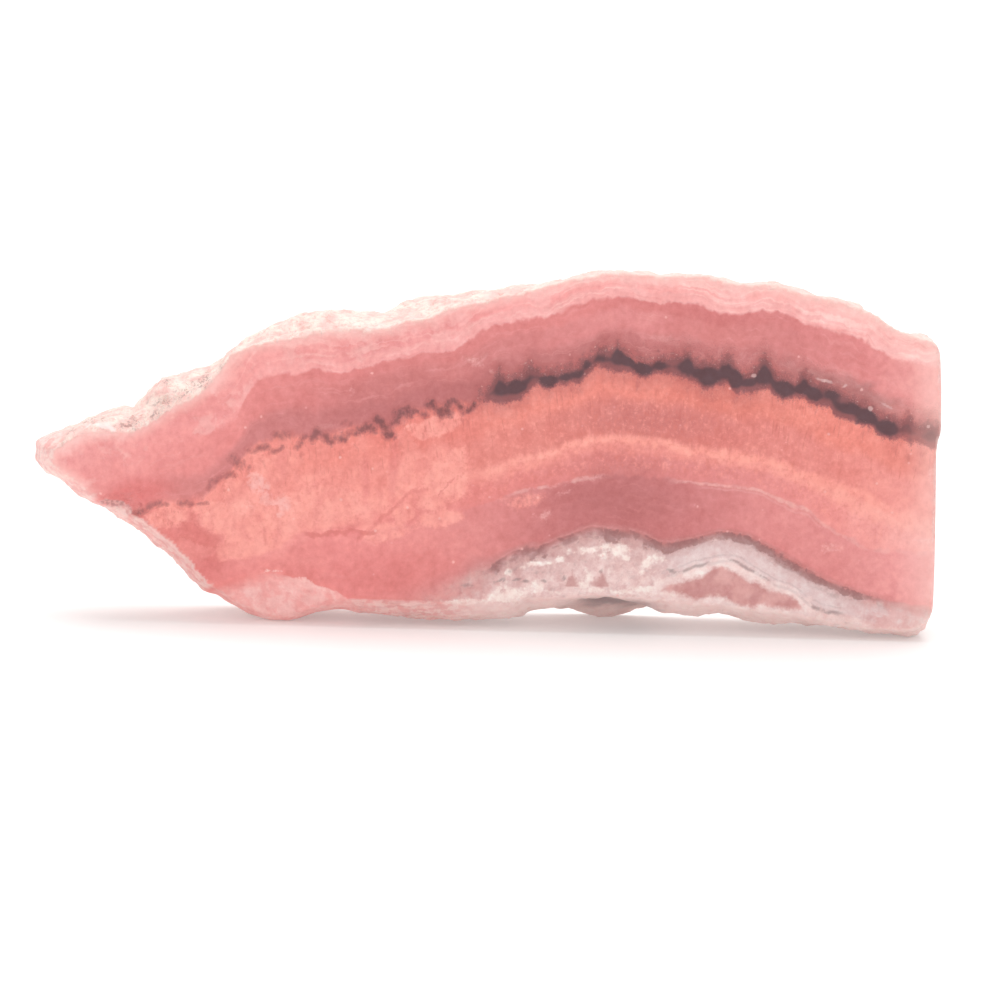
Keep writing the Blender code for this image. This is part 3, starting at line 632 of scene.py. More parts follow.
def calc(operation, *values):
    return output(addNode("ShaderNodeMath", dict(enumerate(values)), operation=operation))


def largest(first, second):
    return calc("MAXIMUM", first, second)


def rise(value, start, end):
    # 0 before start, 1 past end, eased between them
    inputs = {"Value": value, "From Min": start, "From Max": end}
    return output(addNode("ShaderNodeMapRange", inputs, interpolation_type="SMOOTHSTEP"))


def fall(value, start, end):
    return 1 - rise(value, start, end)


def window(value, start, end, soft):
    # 1 between start and end, eased to 0 over soft outside them
    return rise(value, start - soft, start) * fall(value, end, end + soft)


def blend(factor, first, second, mode="MIX"):
    inputs = {0: factor, 6: first, 7: second}
    return output(addNode("ShaderNodeMix", inputs, data_type="RGBA", blend_type=mode, clamp_factor=True), 2)


def vector(x, y, z):
    return output(addNode("ShaderNodeCombineXYZ", {0: x, 1: y, 2: z}))


def separated(place):
    node = addNode("ShaderNodeSeparateXYZ", {0: place})
    return [output(node, axis) for axis in range(3)]


def noise(place, scale, detail, rough=0.5, warp=0.0):
    inputs = {"Vector": place, "Scale": scale, "Detail": detail, "Roughness": rough, "Distortion": warp}
    return output(addNode("ShaderNodeTexNoise", inputs))


def cells(place, scale, dimensions):
    # the distance from each cell's middle, and a random value that each cell has
    node = addNode("ShaderNodeTexVoronoi", {"Vector": place, "Scale": scale}, voronoi_dimensions=dimensions)
    return output(node, "Distance"), output(addNode("ShaderNodeSeparateColor", {0: output(node, "Color")}))


def attribute(name, kind="Fac"):
    return output(addNode("ShaderNodeAttribute", attribute_name=name), kind)


def colourAlong(x, stops):
    # a colour that changes along the slice, from (x in mm, colour) stops
    span = drawing["right"] - drawing["left"]
    ramp = addNode("ShaderNodeValToRGB", {0: (x - drawing["left"]) / span})
    elements = ramp.color_ramp.elements
    while len(elements) > 1:
        elements.remove(elements[-1])
    for number, (place, colour) in enumerate(stops):
        position = (place - drawing["left"]) / span
        element = elements[0] if number == 0 else elements.new(position)
        element.position = position
        element.color = tone(*colour)
    return output(ramp)


def newGroup(name, kind, inputs, outputs):
    # a node group with its sockets, each with its kind
    tree = begin(bpy.data.node_groups.new(name, kind))
    for way, sockets in (("INPUT", inputs), ("OUTPUT", outputs)):
        for label, socket in sockets.items():
            tree.interface.new_socket(label, in_out=way, socket_type="NodeSocket" + socket)
    return tree, tree.nodes.new("NodeGroupInput"), tree.nodes.new("NodeGroupOutput")


def useGroup(group, **values):
    return addNode("ShaderNodeGroup", values, node_tree=group)


# The stone's bands, from the bottom up. Each starts at a layer height, over a softness, and has
# its own colours along the slice.
# Their colours grow paler over the last few mm at the right end: partly the stone's colour, partly painted
# glow through the thin end.
bands = {
    "darkRim": {"start": -0.35, "soft": 0.8, "softNear": "matrix", "along": [
        (-10, (229, 147, 145)), (-2, (224, 152, 149)), (4, (194, 128, 127)), (15, (188, 124, 122)),
        (30, (188, 122, 120)), (38, (210, 144, 142)), (45, (236, 172, 168))]},
    "paleThread": {"start": 0.28, "soft": 0.26, "softNear": "matrix", "along": [
        (-10, (228, 142, 139)), (2, (206, 136, 134)), (14, (200, 128, 127)), (20, (198, 122, 121)),
        (36, (216, 136, 134)), (45, (244, 170, 167))]},
    "lowRose": {"start": 0.56, "soft": 0.55, "softNear": "matrix", "along": [
        (-45, (232, 138, 134)), (-29, (238, 145, 140)), (-24, (252, 167, 161)), (-19, (243, 155, 150)),
        (-15, (241, 149, 146)), (-7, (236, 147, 143)), (1, (222, 137, 135)), (8, (200, 118, 118)),
        (14, (196, 115, 115)), (20, (207, 124, 124)), (28, (228, 144, 142)), (35, (228, 144, 142)),
        (40, (238, 158, 156)), (45, (248, 180, 177))]},
    "roseUnderPeach": {"start": 5.5, "soft": 0.5, "along": [
        (-45, (240, 154, 147)), (-20, (249, 163, 154)), (-12, (246, 157, 149)), (-8, (238, 145, 139)),
        (0, (228, 134, 130)), (12, (218, 130, 127)), (24, (226, 139, 137)), (34, (240, 152, 147)),
        (45, (252, 184, 178))]},
    "peachGlow": {"start": 7.6, "soft": 1.2, "along": [
        (-45, (240, 152, 144)), (-20, (250, 163, 152)), (-10, (248, 160, 150)), (-2, (244, 156, 147)),
        (6, (240, 151, 142)), (14, (234, 145, 137)), (26, (244, 157, 148)), (36, (251, 168, 157)),
        (45, (252, 182, 174))]},
    "peachLine": {"start": 8.9, "soft": 0.6, "along": [
        (-45, (240, 152, 144)), (-20, (250, 163, 152)), (-6, (249, 162, 152)), (4, (251, 167, 156)),
        (13, (252, 167, 155)), (28, (252, 165, 153)), (38, (251, 164, 153)), (45, (251, 179, 171))]},
    "roseOverPeach": {"start": 9.6, "soft": 0.8, "along": [
        (-45, (240, 152, 144)), (-20, (246, 157, 147)), (-6, (243, 153, 143)), (1, (229, 137, 128)),
        (8, (222, 131, 123)), (15, (217, 126, 119)), (23, (221, 128, 121)), (30, (229, 139, 132)),
        (36, (234, 142, 134)), (45, (247, 167, 160))]},
    "columns": {"start": 12.8, "soft": 1.8, "along": [
        (-45, (236, 148, 141)), (-30, (246, 158, 148)), (-15, (238, 142, 131)), (-5, (231, 131, 121)),
        (2, (240, 145, 132)), (14, (237, 141, 128)), (22, (227, 130, 117)), (29, (234, 139, 126)),
        (36, (239, 141, 128)), (41, (232, 139, 128)), (45, (238, 153, 145))]},
    "cloud": {"start": 17.6, "soft": 0.8, "along": [
        (-45, (236, 156, 153)), (-34, (224, 140, 137)), (-24, (208, 127, 126)), (-10, (196, 116, 116)),
        (0, (190, 110, 110)), (14, (194, 114, 114)), (26, (198, 118, 118)), (36, (204, 128, 126)),
        (45, (228, 154, 150))]},
    "midRose": {"start": 19.5, "soft": 1.6, "along": [
        (-45, (232, 150, 148)), (-34, (236, 149, 146)), (-26, (230, 140, 137)), (-18, (220, 132, 130)),
        (-6, (214, 129, 127)), (8, (219, 135, 134)), (15, (225, 142, 141)), (22, (213, 127, 125)),
        (30, (214, 130, 129)), (38, (224, 137, 136)), (45, (248, 176, 172))]},
    "midRoseTop": {"start": 22, "soft": 1, "along": [
        (-45, (234, 152, 150)), (-34, (238, 152, 149)), (-26, (234, 145, 142)), (-18, (224, 134, 132)),
        (-6, (219, 131, 129)), (8, (224, 134, 132)), (22, (211, 122, 121)), (30, (216, 129, 128)),
        (38, (226, 139, 138)), (45, (248, 176, 172))]},
    "paleUnder": {"start": 23.4, "soft": 0.48, "softNear": "tip", "along": [
        (-45, (235, 154, 152)), (-34, (240, 157, 154)), (-26, (241, 158, 156)), (-20, (243, 167, 164)),
        (-5, (242, 168, 166)), (10, (243, 172, 169)), (30, (246, 178, 175)), (45, (252, 190, 186))]},
    "outerPink": {"start": 24.5, "soft": 0.5, "softNear": "tip", "along": [
        (-45, (236, 157, 155)), (-34, (241, 160, 157)), (-28, (237, 153, 150)), (-22, (242, 162, 159)),
        (-17, (241, 161, 158)), (-12, (234, 152, 150)), (-6, (238, 157, 155)), (0, (245, 163, 161)),
        (12, (246, 168, 165)), (30, (251, 182, 178)), (45, (253, 194, 189))]},
    "outerTop": {"start": 27, "soft": 1.4, "along": [
        (-45, (246, 176, 172)), (-34, (247, 177, 173)), (-27, (243, 170, 166)), (-20, (250, 182, 177)),
        (0, (251, 184, 179)), (30, (250, 187, 181)), (36, (246, 176, 172)), (45, (253, 199, 193))]},
}

# What is painted over the stone, in order: each has a strength and its sRGB colour
# Some of them are painted light: the glow at the edges, highlights and glints, and shade on the foot and in
# the crust's crevices and hollows
paints = {
    "dullVeins": (0.6, 208, 176, 174), "whiteVeins": (0.6, 250, 226, 220),
    "greySpecks": (0.45, 178, 150, 148), "greyZone": (0.75, 230, 207, 206),
    "underGrey": (0.6, 248, 224, 219), "underRim": (0.75, 196, 142, 140),
    "underRight": (0.62, 192, 140, 139), "farRight": (0.62, 226, 164, 160),
    "whiteCrest": (0.92, 255, 238, 231), "greyMatrix": (0.75, 160, 134, 133),
    "greyThread": (0.7, 164, 136, 136), "lensHalo": (0.62, 249, 226, 222),
    "smallCrystal": (0.75, 200, 142, 139), "leftEnd": (0.9, 229, 158, 154), "darkRim": (0.7, 148, 98, 98),
    "paleLine": (0.3, 228, 164, 161), "darkRose": (1, 190, 110, 110), "deepRose": (1, 221, 121, 119),
    "peachBlock": (0.75, 254, 171, 160), "darkFibres": (0.4, 220, 124, 113),
    "brightFibres": (0.38, 248, 160, 147), "paleGrit": (0.38, 249, 165, 151),
    "darkGrit": (0.34, 222, 126, 113), "columnRoots": (0.5, 200, 108, 104),
    "darkHairs": (0.42, 206, 108, 100), "paleBlocks": (0.22, 255, 178, 168),
    "darkBlocks": (0.2, 230, 134, 127), "columnJoints": (0.16, 214, 114, 108),
    "paleBloom": (0.55, 250, 196, 192), "clouds": (0.44, 249, 194, 190), "paleThreads": (1, 255, 208, 202),
    "darkThreads": (0.5, 236, 150, 147), "lowThreads": (0.16, 236, 160, 156),
    "middleThreads": (0.22, 240, 170, 167), "whiteLine": (0.5, 244, 188, 183),
    "redThread": (0.5, 206, 98, 94), "healedCrack": (0.44, 214, 110, 106), "smoke": (0.5, 224, 166, 162),
    "greyHaze": (0.85, 158, 112, 113), "redHaze": (0.42, 178, 98, 96), "redFringe": (0.78, 180, 96, 95),
    "brownHaze": (0.66, 142, 86, 88), "seamBody": (0.82, 134, 80, 83), "seamCore": (0.92, 92, 64, 70),
    "strokeHaze": (0.55, 184, 102, 101), "brownStrokes": (1, 120, 72, 76),
    "palePoints": (0.45, 226, 176, 172), "paleSpecks": (0.5, 204, 136, 134),
    "darkSpecks": (0.45, 112, 74, 79), "whiteFleck": (0.62, 222, 184, 182),
    "smallChips": (0.8, 250, 204, 198), "glossyPatch": (0.75, 252, 232, 229),
    "flashes": (0.6, 253, 200, 195), "clearEdges": (1, 255, 222, 213), "whiteSheets": (0.65, 253, 224, 216),
    "dullSheets": (0.5, 226, 178, 175), "skinGrit": (0.5, 218, 174, 171),
    "whiteStripe": (0.5, 254, 230, 224), "greyStripe": (0.15, 196, 150, 147),
    "matrixSide": (0.75, 252, 226, 221), "pinkGrit": (0.6, 242, 184, 177),
    "whiteFolds": (0.5, 253, 230, 219), "pinkByFace": (0.6, 250, 196, 188),
    "crustCrevice": (0.34, 224, 172, 164), "crustVeins": (0.74, 178, 132, 127),
    "paleTop": (0.75, 255, 224, 215), "pinkTopGrit": (0.5, 246, 188, 182),
    "pinkHollows": (0.35, 240, 176, 170), "greyFoot": (0.78, 156, 136, 138),
    "glossySkin": (0.62, 252, 236, 233),
}

# Grounds of two tones that a noise mixes
grounds = {
    "matrix": [(226, 188, 185), (240, 210, 206)], "lens": [(206, 142, 139), (223, 165, 161)],
    "greyFlake": [(182, 134, 132), (222, 172, 168)], "chip": [(246, 178, 174), (252, 202, 197)],
    "skin": [(242, 180, 176), (254, 220, 214)], "crust": [(246, 202, 195), (253, 230, 220)],
}


def paint(colour, **masks):
    # lay each named colour over the last, as strong as its mask says
    for name, mask in masks.items():
        strength, *shade = paints[name]
        colour = blend(mask * strength, colour, tone(*shade))
    return colour


def ground(name, share):
    dull, pale = grounds[name]
    return blend(share, tone(*dull), tone(*pale))


def mark(name, low, high, wander):
    # a family of local marks as a mask, its edge wandering by a noise about zero
    field = attribute(name)
    return rise(field + wander, low, high) * rise(field, 0, 0.15)


def makeBandGroup():
    outputs = {"Colour": "Color", "Seam": "Float", "Height": "Float", "Grain": "Float"}
    tree, start, end = newGroup("stoneBands", "ShaderNodeTree", {}, outputs)
    tree.nodes.remove(start)

    # where a point is: on the drawing, along a column, and between the bands, with ragged edges
    place = attribute("drawn", "Vector")
    x, depth, z = separated(place)
    along = attribute("along")
    broad = noise(place, 0.42, 2) - 0.5
    fine = noise(place, 2.1, 3, 0.6) - 0.5
    crisp = noise(place, 7, 2, 0.65)
    fleck = noise(place, 3, 2, 0.6)
    plainLayer = attribute("layer")
    strands = noise(vector(along * 1.25, plainLayer * 0.4, depth), 1, 4, 0.7, 0.25)
    inColumns = window(plainLayer, 7, 17.6, 1.4)
    feather = (strands - 0.5) * (inColumns * 0.8)
    evenLayer = plainLayer + (broad * 1.1 + fine * 0.35)
    scallop = noise(vector(along * 0.9, plainLayer * 0.5, depth), 1, 2, 0.5) - 0.5
    layer = evenLayer + (scallop + feather)
    smoothLayer = plainLayer + (broad * 0.7 + fine * 0.22)
    edgeWander = fine + (fleck - 0.5) * 0.5

    # the matrix: white, pink and grey, mottled, with white crests just under its dark rim
    mottle = noise(place, 0.9, 4, 0.62, 0.3)
    veining = noise(vector(x * 0.9, depth, layer * 2), 1, 3, 0.62, 0.3)
    rightSide = rise(x, 15.5, 19.5)
    underRim = rise(smoothLayer, -2.4, 0.2) * (0.8 + fine * 1.4) * fall(x, 15, 18)
    underRight = rise(smoothLayer, -1.7, -0.1) * (0.8 + fine * 1.8) * rise(x, 15, 18)
    greyThread = fall(abs(evenLayer + 3.05), 0.02, 0.34)
    second = fall(abs(evenLayer + 2.35), 0.02, 0.2) * 0.3
    greyThread = largest(greyThread, second) * window(x, 18.5, 34.5, 1.2) * rise(mottle, 0.28, 0.52)
    inLens = attribute("lensInside") + fine * 0.9
    colour = paint(
        ground("matrix", rise(mottle, 0.38, 0.6)),
        dullVeins=rise(veining, 0.52, 0.7),
        whiteVeins=fall(veining, 0.3, 0.48),
        greySpecks=rise(fleck, 0.62, 0.7) * rise(mottle, 0.46, 0.6),
        greyZone=window(layer, -2.8, -0.7, 0.5) * rightSide,
        underGrey=window(layer, -4.6, -3.3, 0.5) * rightSide,
        underRim=underRim,
        underRight=underRight,
        farRight=rise(x, 35, 39) * fall(mottle, 0.36, 0.72),
        whiteCrest=rise(attribute("whiteCrest") + edgeWander * 1.3, 0.08, 1),
        # grey matrix marks: grey stone, and painted shade on the foot low under the matrix
        greyMatrix=rise(attribute("greyMatrix") + edgeWander * 0.9, 0.25, 1),
        greyThread=greyThread,
        lensHalo=window(inLens, -0.85, -0.15, 0.35),
    )
    lensTone = ground("lens", rise(noise(place, 0.55, 2), 0.4, 0.62))
    colour = blend(rise(inLens, -0.38, 0.34) * 0.9, colour, lensTone)
    for midX, base, half, high in wedges:
        aside = abs(x - midX)
        up = (z - base) / high
        room = (1 - up) * half + fine * 0.8
        colour = paint(colour, smallCrystal=rise(room - aside, -0.2, 0.22) * rise(up, -0.12, 0.05))
    colour = paint(colour, leftEnd=fall(x, -7, 3) * fall(mottle, 0.36, 0.7))

    # the bands over the matrix
    softStart = {"tip": fall(x, -32, -23) * 1.8, "matrix": fall(x, -6, 3.5) * 1.7}
    for band in bands.values():
        near = band.get("softNear")
        finish = band["start"] + band["soft"]
        if near:
            finish = softStart[near] + finish
        share = rise(smoothLayer if near == "matrix" else layer, band["start"], finish)
        colour = blend(share, colour, colourAlong(x, band["along"]))

    # along the matrix: its dark rim in patches, and a pale line over it
    rimPatch = rise(attribute("rimPatches") + edgeWander * 0.5, 0.2, 0.95)
    rimPatch = rimPatch * window(smoothLayer, -0.7, 0.5, 0.4)
    offRim = abs(smoothLayer) - rise(mottle, 0.42, 0.62) * 0.42
    onRim = fall(offRim, 0, 0.34) * window(x, 0, 37, 3) * (0.62 + rise(mottle, 0.4, 0.58) * 0.38)
    onRim = onRim * rise(broad + rise(x, 15, 20) * 0.16, -0.14, 0.12)
    paleLine = fall(abs(smoothLayer - 0.62), 0.02, 0.16) * window(x, 1, 36, 3) * rise(mottle, 0.4, 0.6)
    colour = paint(
        colour,
        darkRim=largest(rimPatch * 0.8, onRim),
        paleLine=paleLine,
        darkRose=attribute("darkRose") * (0.8 + fine * 0.8),
        deepRose=attribute("deepRose") * (0.88 + fine * 0.8),
        peachBlock=mark("peachBlocks", 0.1, 0.85, edgeWander),
    )

    # columns: soft fibres square to the bands, with a joint here and there
    fibreShare = (0.66 + rise(x, -12, 2) * 0.34) * (1 - rise(x, 33, 43) * 0.6) * inColumns
    grit = (fine + (fleck - 0.5) * 0.6) * fibreShare
    hairs = noise(vector(along * 4.2, plainLayer * 0.34, depth), 1, 2, 0.6)
    hairs = rise(hairs, 0.56, 0.68) * window(plainLayer, 12.6, 17.6, 1.2) * rise(mottle, 0.4, 0.56)
    block = vector(along * 0.62 + fine * 1.2, layer * 0.3, 0)
    fromMiddle, pick = cells(block, 1, "2D")
    blocks = window(layer, 7, 17.2, 1.4) * fall(x, -6, 10)
    colour = paint(
        colour,
        darkFibres=rise(strands, 0.48, 0.74) * fibreShare,
        brightFibres=fall(strands, 0.26, 0.52) * fibreShare,
        paleGrit=rise(grit, 0, 0.25),
        darkGrit=fall(grit, -0.25, 0),
        columnRoots=rise(strands, 0.54, 0.7) * window(plainLayer, 15.6, 17.4, 1.6),
        darkHairs=hairs,
        paleBlocks=rise(pick, 0.4, 1) * blocks,
        darkBlocks=fall(pick, 0, 0.5) * blocks,
        columnJoints=rise(fromMiddle, 0.38, 0.62) * blocks,
        paleBloom=rise(attribute("paleBlooms") + edgeWander * 1.4, 0.35, 1.15),
    )

    # threads of darker and paler stone along the bands
    threads = noise(vector(along * 0.16, layer * 2.2, depth * 0.3), 1, 3, 0.55, 0.3)
    inOuter = rise(layer, 23.5, 24)
    strength = 0.34 + rise(x, -2, 16) * 0.4
    threaded = inOuter * rise(x, -31, -19)
    colour = paint(
        colour,
        clouds=rise(broad + fine * 0.5, -0.02, 0.16) * inOuter,
        paleThreads=rise(threads, 0.5, 0.68) * threaded * strength,
        darkThreads=fall(threads, 0.3, 0.46) * threaded,
        lowThreads=rise(threads, 0.5, 0.74) * window(layer, 0.6, 6, 0.4),
        middleThreads=rise(threads, 0.54, 0.7) * window(layer, 19, 23, 0.6),
    )

    # the thin white line, in stretches, and the red thread where the columns start at the left
    onLine = abs(evenLayer - bandLines["whiteLine"]["layer"])
    stretches = largest(window(x, 3, 10.5, 2), window(x, 19.5, 31, 2.5))
    stretches = largest(stretches, window(x, 32, 44, 2) * 0.6)
    white = fall(onLine, 0.05, 0.34) * stretches * rise(mottle, 0.38, 0.58)
    nextLine = fall(abs(evenLayer - 5.15), 0.02, 0.22)
    arc = window(x, 22, 32, 2)
    colour = paint(
        colour,
        whiteLine=white + arc * (fall(onLine, 0.05, 0.3) * 0.3 + nextLine * 0.45),
        redThread=fall(onLine, 0.05, 0.24) * window(x, -18, -11.8, 1),
    )
    for name, width in (("crackLong", 0.14), ("crackShort", 0.07)):
        colour = paint(colour, healedCrack=fall(abs(attribute(name) + fine * 0.9), width * 0.3, width * 3))

    # grey smoke over the seam, and a haze of grains at its right end
    smoke = noise(vector(along * 0.55, evenLayer * 1.3, depth), 1, 4, 0.66, 0.6)
    spread = window(layer, 18.4, 20.2, 0.9) * rise(x, -8, 30)
    colour = paint(
        colour,
        smoke=rise(smoke, 0.46, 0.66) * largest(attribute("smoke"), spread * 0.5),
        greyHaze=attribute("smoke") * rise(x, 27, 31) * (0.5 + (crisp - 0.5) * 1.6),
    )

    # the black seam: dark cores in a brown body, red-brown and hazy at its edges
    teeth = noise(vector(along * 1.7, plainLayer * 1.1, depth), 1, 3, 0.65)
    rags = teeth - 0.5 + (fleck - 0.5) * 0.9
    offLine = plainLayer - bandLines["seam"]["layer"]
    rawInside = attribute("seamInside") + rise(x, 14, 26) * 0.16
    inside = rawInside + rags * 0.9
    above = rise(offLine, -0.2, 0.8)
    reddened = rise(rawInside + fine * 1.6, -2.3, -0.2) * largest(above, fall(x, 25, 31))
    thinned = 1 - rise(x, 40, 41.4) * 0.46
    brown = rise(inside, -0.34, 0.16) * thinned
    coreField = attribute("seamCores") * 0.95 - 0.32
    core = rise(rawInside * 0.9 + (coreField + rags * 0.45), -0.05, 0.7) * rise(inside, -0.2, 0.14)
    core = core * thinned
    frayed = (teeth - 0.5) * 1.6 + (fleck - 0.5) * 0.9
    stroke = attribute("seamStrokes") + (frayed + fine * 1.2)
    nearStroke = rise(attribute("seamStrokes"), 0, 0.15)
    spots = rise(stroke, 0.3, 1.3) * nearStroke
    seam = largest(largest(core, brown * 0.7), spots * 0.6)
    sparkle = rise(fleck, 0.62, 0.7) * window(inside, -0.8, 0, 0.3) * rise(offLine, -0.2, 0.4)
    speckled = window(inside + fine, -0.55, 0.12, 0.25) * rise(attribute("seamInside"), -2.9, -2)
    dusted = window(inside + fine, -2.1, -0.1, 0.5) * above
    speckled = largest(speckled, dusted * (rise(x, 6, 20) * 0.6))
    colour = paint(
        colour,
        redHaze=reddened * (0.5 + rise(x, -29, -20) * 0.5),
        redFringe=rise(inside, -0.46 - above * 0.8, 0.05),
        brownHaze=rise(inside + fine * 2.4, -1, 0) * above,
        seamBody=brown,
        seamCore=core,
        strokeHaze=rise(stroke, -0.2, 0.6) * nearStroke,
        brownStrokes=spots * (rise(x, -24, -8) * 0.3 + 0.54),
        palePoints=sparkle,
        paleSpecks=rise(crisp, 0.56, 0.7) * speckled,
        darkSpecks=fall(crisp, 0.32, 0.44) * speckled,
        whiteFleck=rise(attribute("seamFlecks") + edgeWander * 0.5, 0.3, 0.9),
    )

    # chips, a grey flake, a painted white highlight and the shell-shaped chip
    flakeTone = ground("greyFlake", rise(fleck, 0.4, 0.6))
    chip = attribute("chip") + (fine * 0.5 + broad)
    chipSoft = 0.25 + fall(x, -24, -19) * 1.8
    colour = paint(colour, smallChips=mark("chipped", 0.3, 0.7, edgeWander) * rise(fleck, 0.36, 0.55))
    colour = blend(mark("greyFlake", 0.25, 0.75, edgeWander) * 0.8, colour, flakeTone)
    colour = paint(colour, glossyPatch=mark("glossyWhite", 0.25, 0.75, edgeWander * 0.6))
    colour = blend(rise(chip, -0.05, chipSoft) * 0.85, colour, ground("chip", rise(mottle, 0.38, 0.62)))

    # tiny bright specks, partly white stone and partly painted glints off cleavage planes, then blotches and
    # a fine grain over it all
    fromMiddle, pick = cells(place, 0.62, "3D")
    apart = fromMiddle + (fleck - 0.5) * 0.16
    blotch = (noise(place, 0.6, 4, 0.66) - 0.5) * 0.5
    dapple = (noise(place, 1.5, 3, 0.62) - 0.5) * 0.42
    shade = 1 + blotch + dapple + (crisp - 0.5) * 0.12
    lessRed = shade ** 0.6
    moreDeep = shade ** 1.25
    colour = paint(colour, flashes=fall(apart, 0.03, 0.13) * rise(pick, 0.62, 0.7))
    colour = blend(1, colour, vector(lessRed, moreDeep, moreDeep), "MULTIPLY")

    # painted glow: the stone is clear near its edges, so it is painted paler where light would come through
    # them
    edge = attribute("edgeDistance")
    rightEdge = rise(x, 38, 44) * fall(edge, 0, 4) * fall(attribute("sawnEnd"), 0, 2)
    topEdge = fall(edge, 0, 1.4) * rise(layer, 21, 25)
    colour = paint(colour, clearEdges=largest(rightEdge * 0.28, topEdge * 0.38) * (1 - seam * 0.6))

    for name, value in {"Colour": colour, "Seam": seam, "Height": crisp * 0.35, "Grain": crisp}.items():
        wire(end.inputs[name], value)
    return tree


def makeSkinGroup():
    # the weathered rim: cream crust over the top left, pale layered skin below and at the ends
    inputs, outputs = {"Colour": "Color", "Skin": "Float"}, {"Colour": "Color", "Height": "Float"}
    tree, start, end = newGroup("weatheredSkin", "ShaderNodeTree", inputs, outputs)
    bareColour, skin = output(start, "Colour"), output(start, "Skin")
    place = attribute("drawn", "Vector")
    x, depth, z = separated(place)
    layer = attribute("layer")
    lumps = noise(place, 0.55, 2, 0.55)
    grain = noise(place, 2.6, 4, 0.68)

    # below and at the tip: pink stone under a pale, layered skin
    sheets = noise(vector(x * 0.25, depth * 2.2, z * 0.9), 1, 3, 0.6)
    blots = noise(place, 1.15, 3, 0.6)
    inwards = attribute("skinDepth") + (blots - 0.5) * 1.8
    striped = window(x, -34, -20, 3)
    skinTone = paint(
        ground("skin", rise(blots, 0.4, 0.6)),
        whiteSheets=rise(sheets, 0.5, 0.62),
        dullSheets=fall(sheets, 0.38, 0.46),
        skinGrit=rise(grain, 0.56, 0.7),
        whiteStripe=window(inwards, 0.3, 0.5, 0.25) * striped,
        greyStripe=window(inwards, 0.85, 1.2, 0.25) * striped,
        matrixSide=fall(layer, -1, 0.5) * rise(x, -6, 0),
    )
    under = blend(0.78, bareColour, skinTone)

    # over the top: cream crust with pink streaks, and grey cracks near the face
    # the crust's paler and darker tones by lumps are partly its own colour, partly painted shade of the lumps
    folds = noise(vector(x * 0.7, depth * 0.9, z), 0.8, 3, 0.6, 0.8)
    # thin darker crevice lines along a noise: painted shade, and also pressed in as bumps
    crevice = fall(abs(folds - 0.52), 0, 0.03)
    veins = rise(grain, 0.5, 0.57) * attribute("crustCracks") * window(depth, -6.3, -3, 1.5)
    onTop = rise(layer, 24.2, 26) * rise(x, -44.6, -41.5)
    creamShare = fall(x, 2, 12)
    cream = paint(
        ground("crust", rise(lumps, 0.36, 0.6)),
        pinkGrit=fall(grain, 0.34, 0.52),
        whiteFolds=rise(sheets, 0.52, 0.66),
        pinkByFace=fall(skin, 0.2, 1),
        crustCrevice=crevice,
        crustVeins=veins,
    )
    # pinker hollows between the lumps: painted shade
    pinkHollows = fall(lumps, 0.36, 0.5)
    plainTop = paint(bareColour, paleTop=1, pinkTopGrit=fall(grain, 0.34, 0.54), pinkHollows=pinkHollows)
    over = blend(creamShare, plainTop, cream)

    # both together, with painted shade on the foot under the matrix, and bare stone where the skin is broken
    # off
    # a painted white highlight on the crust near the tip
    glossy = rise(attribute("glossyWhite"), 0.2, 0.7) * fall(attribute("skinDepth"), 0.8, 2.2)
    bare = rise(attribute("bareStone"), 0.1, 0.6) * fall(depth, -4, -1)
    weathered = paint(
        blend(onTop, under, over),
        greyFoot=attribute("greyMatrix") * (fall(z, 3, 4.2) * rise(x, 8, 10)),
        glossySkin=glossy,
    )
    colour = blend(skin * (1 - bare * 0.9), bareColour, weathered)

    height = grain + sheets * 0.5
    height = height - (veins + crevice * 0.6) * 0.6
    wire(end.inputs["Colour"], colour)
    wire(end.inputs["Height"], height * skin)
    return tree


# Three finishes of the same stone: how rough it is there and on the seam, how much paler it is, and
# its bumps. The rim has the weathered skin too.
finishes = {
    "sawnFace": {"rough": 0.34, "seamRough": 0.62, "pale": 0.0, "bump": 0.06, "depth": 0.06 * mm},
    "sawnEnd": {"rough": 0.46, "seamRough": 0.66, "pale": 0.10, "bump": 0.15, "depth": 0.08 * mm},
    "naturalRim": {"rough": 0.58, "seamRough": 0.70, "pale": 0.0, "bump": 0.5, "depth": 0.30 * mm},
}
allFinishes = {
    "paleDust": (255, 226, 220),  # the colour that a paler finish goes towards
    "grainRough": 0.25,  # how much the grain changes the roughness
    "specular": 0.45,
    "glowInside": {"Weight": 0.25, "Radius": (1.0, 0.50, 0.42), "Scale": 1.6 * mm},
}


def makeFinish(name, bandGroup, skinGroup):
    finish = finishes[name]
    material = bpy.data.materials.new(name)
    material.use_nodes = True
    shader = begin(material.node_tree).nodes["Principled BSDF"]
    banded = useGroup(bandGroup)
    colour, height = output(banded, "Colour"), output(banded, "Height")
    if name == "naturalRim":
        skinned = useGroup(skinGroup, Colour=colour, Skin=attribute("skin"))
        colour, height = output(skinned, "Colour"), output(skinned, "Height")
    if finish["pale"]:
        colour = blend(finish["pale"], colour, tone(*allFinishes["paleDust"]))
    wire(shader.inputs["Base Color"], colour)
    rough = output(banded, "Seam") * (finish["seamRough"] - finish["rough"]) + finish["rough"]
    rough = rough + (output(banded, "Grain") - 0.5) * allFinishes["grainRough"]
    wire(shader.inputs["Roughness"], rough)
    bumps = {"Strength": finish["bump"], "Distance": finish["depth"], "Height": height}
    wire(shader.inputs["Normal"], output(addNode("ShaderNodeBump", bumps)))
    for part, value in allFinishes["glowInside"].items():
        shader.inputs["Subsurface " + part].default_value = value
    shader.inputs["Specular IOR Level"].default_value = allFinishes["specular"]
    return material


# The rim's relief, made by Geometry Nodes

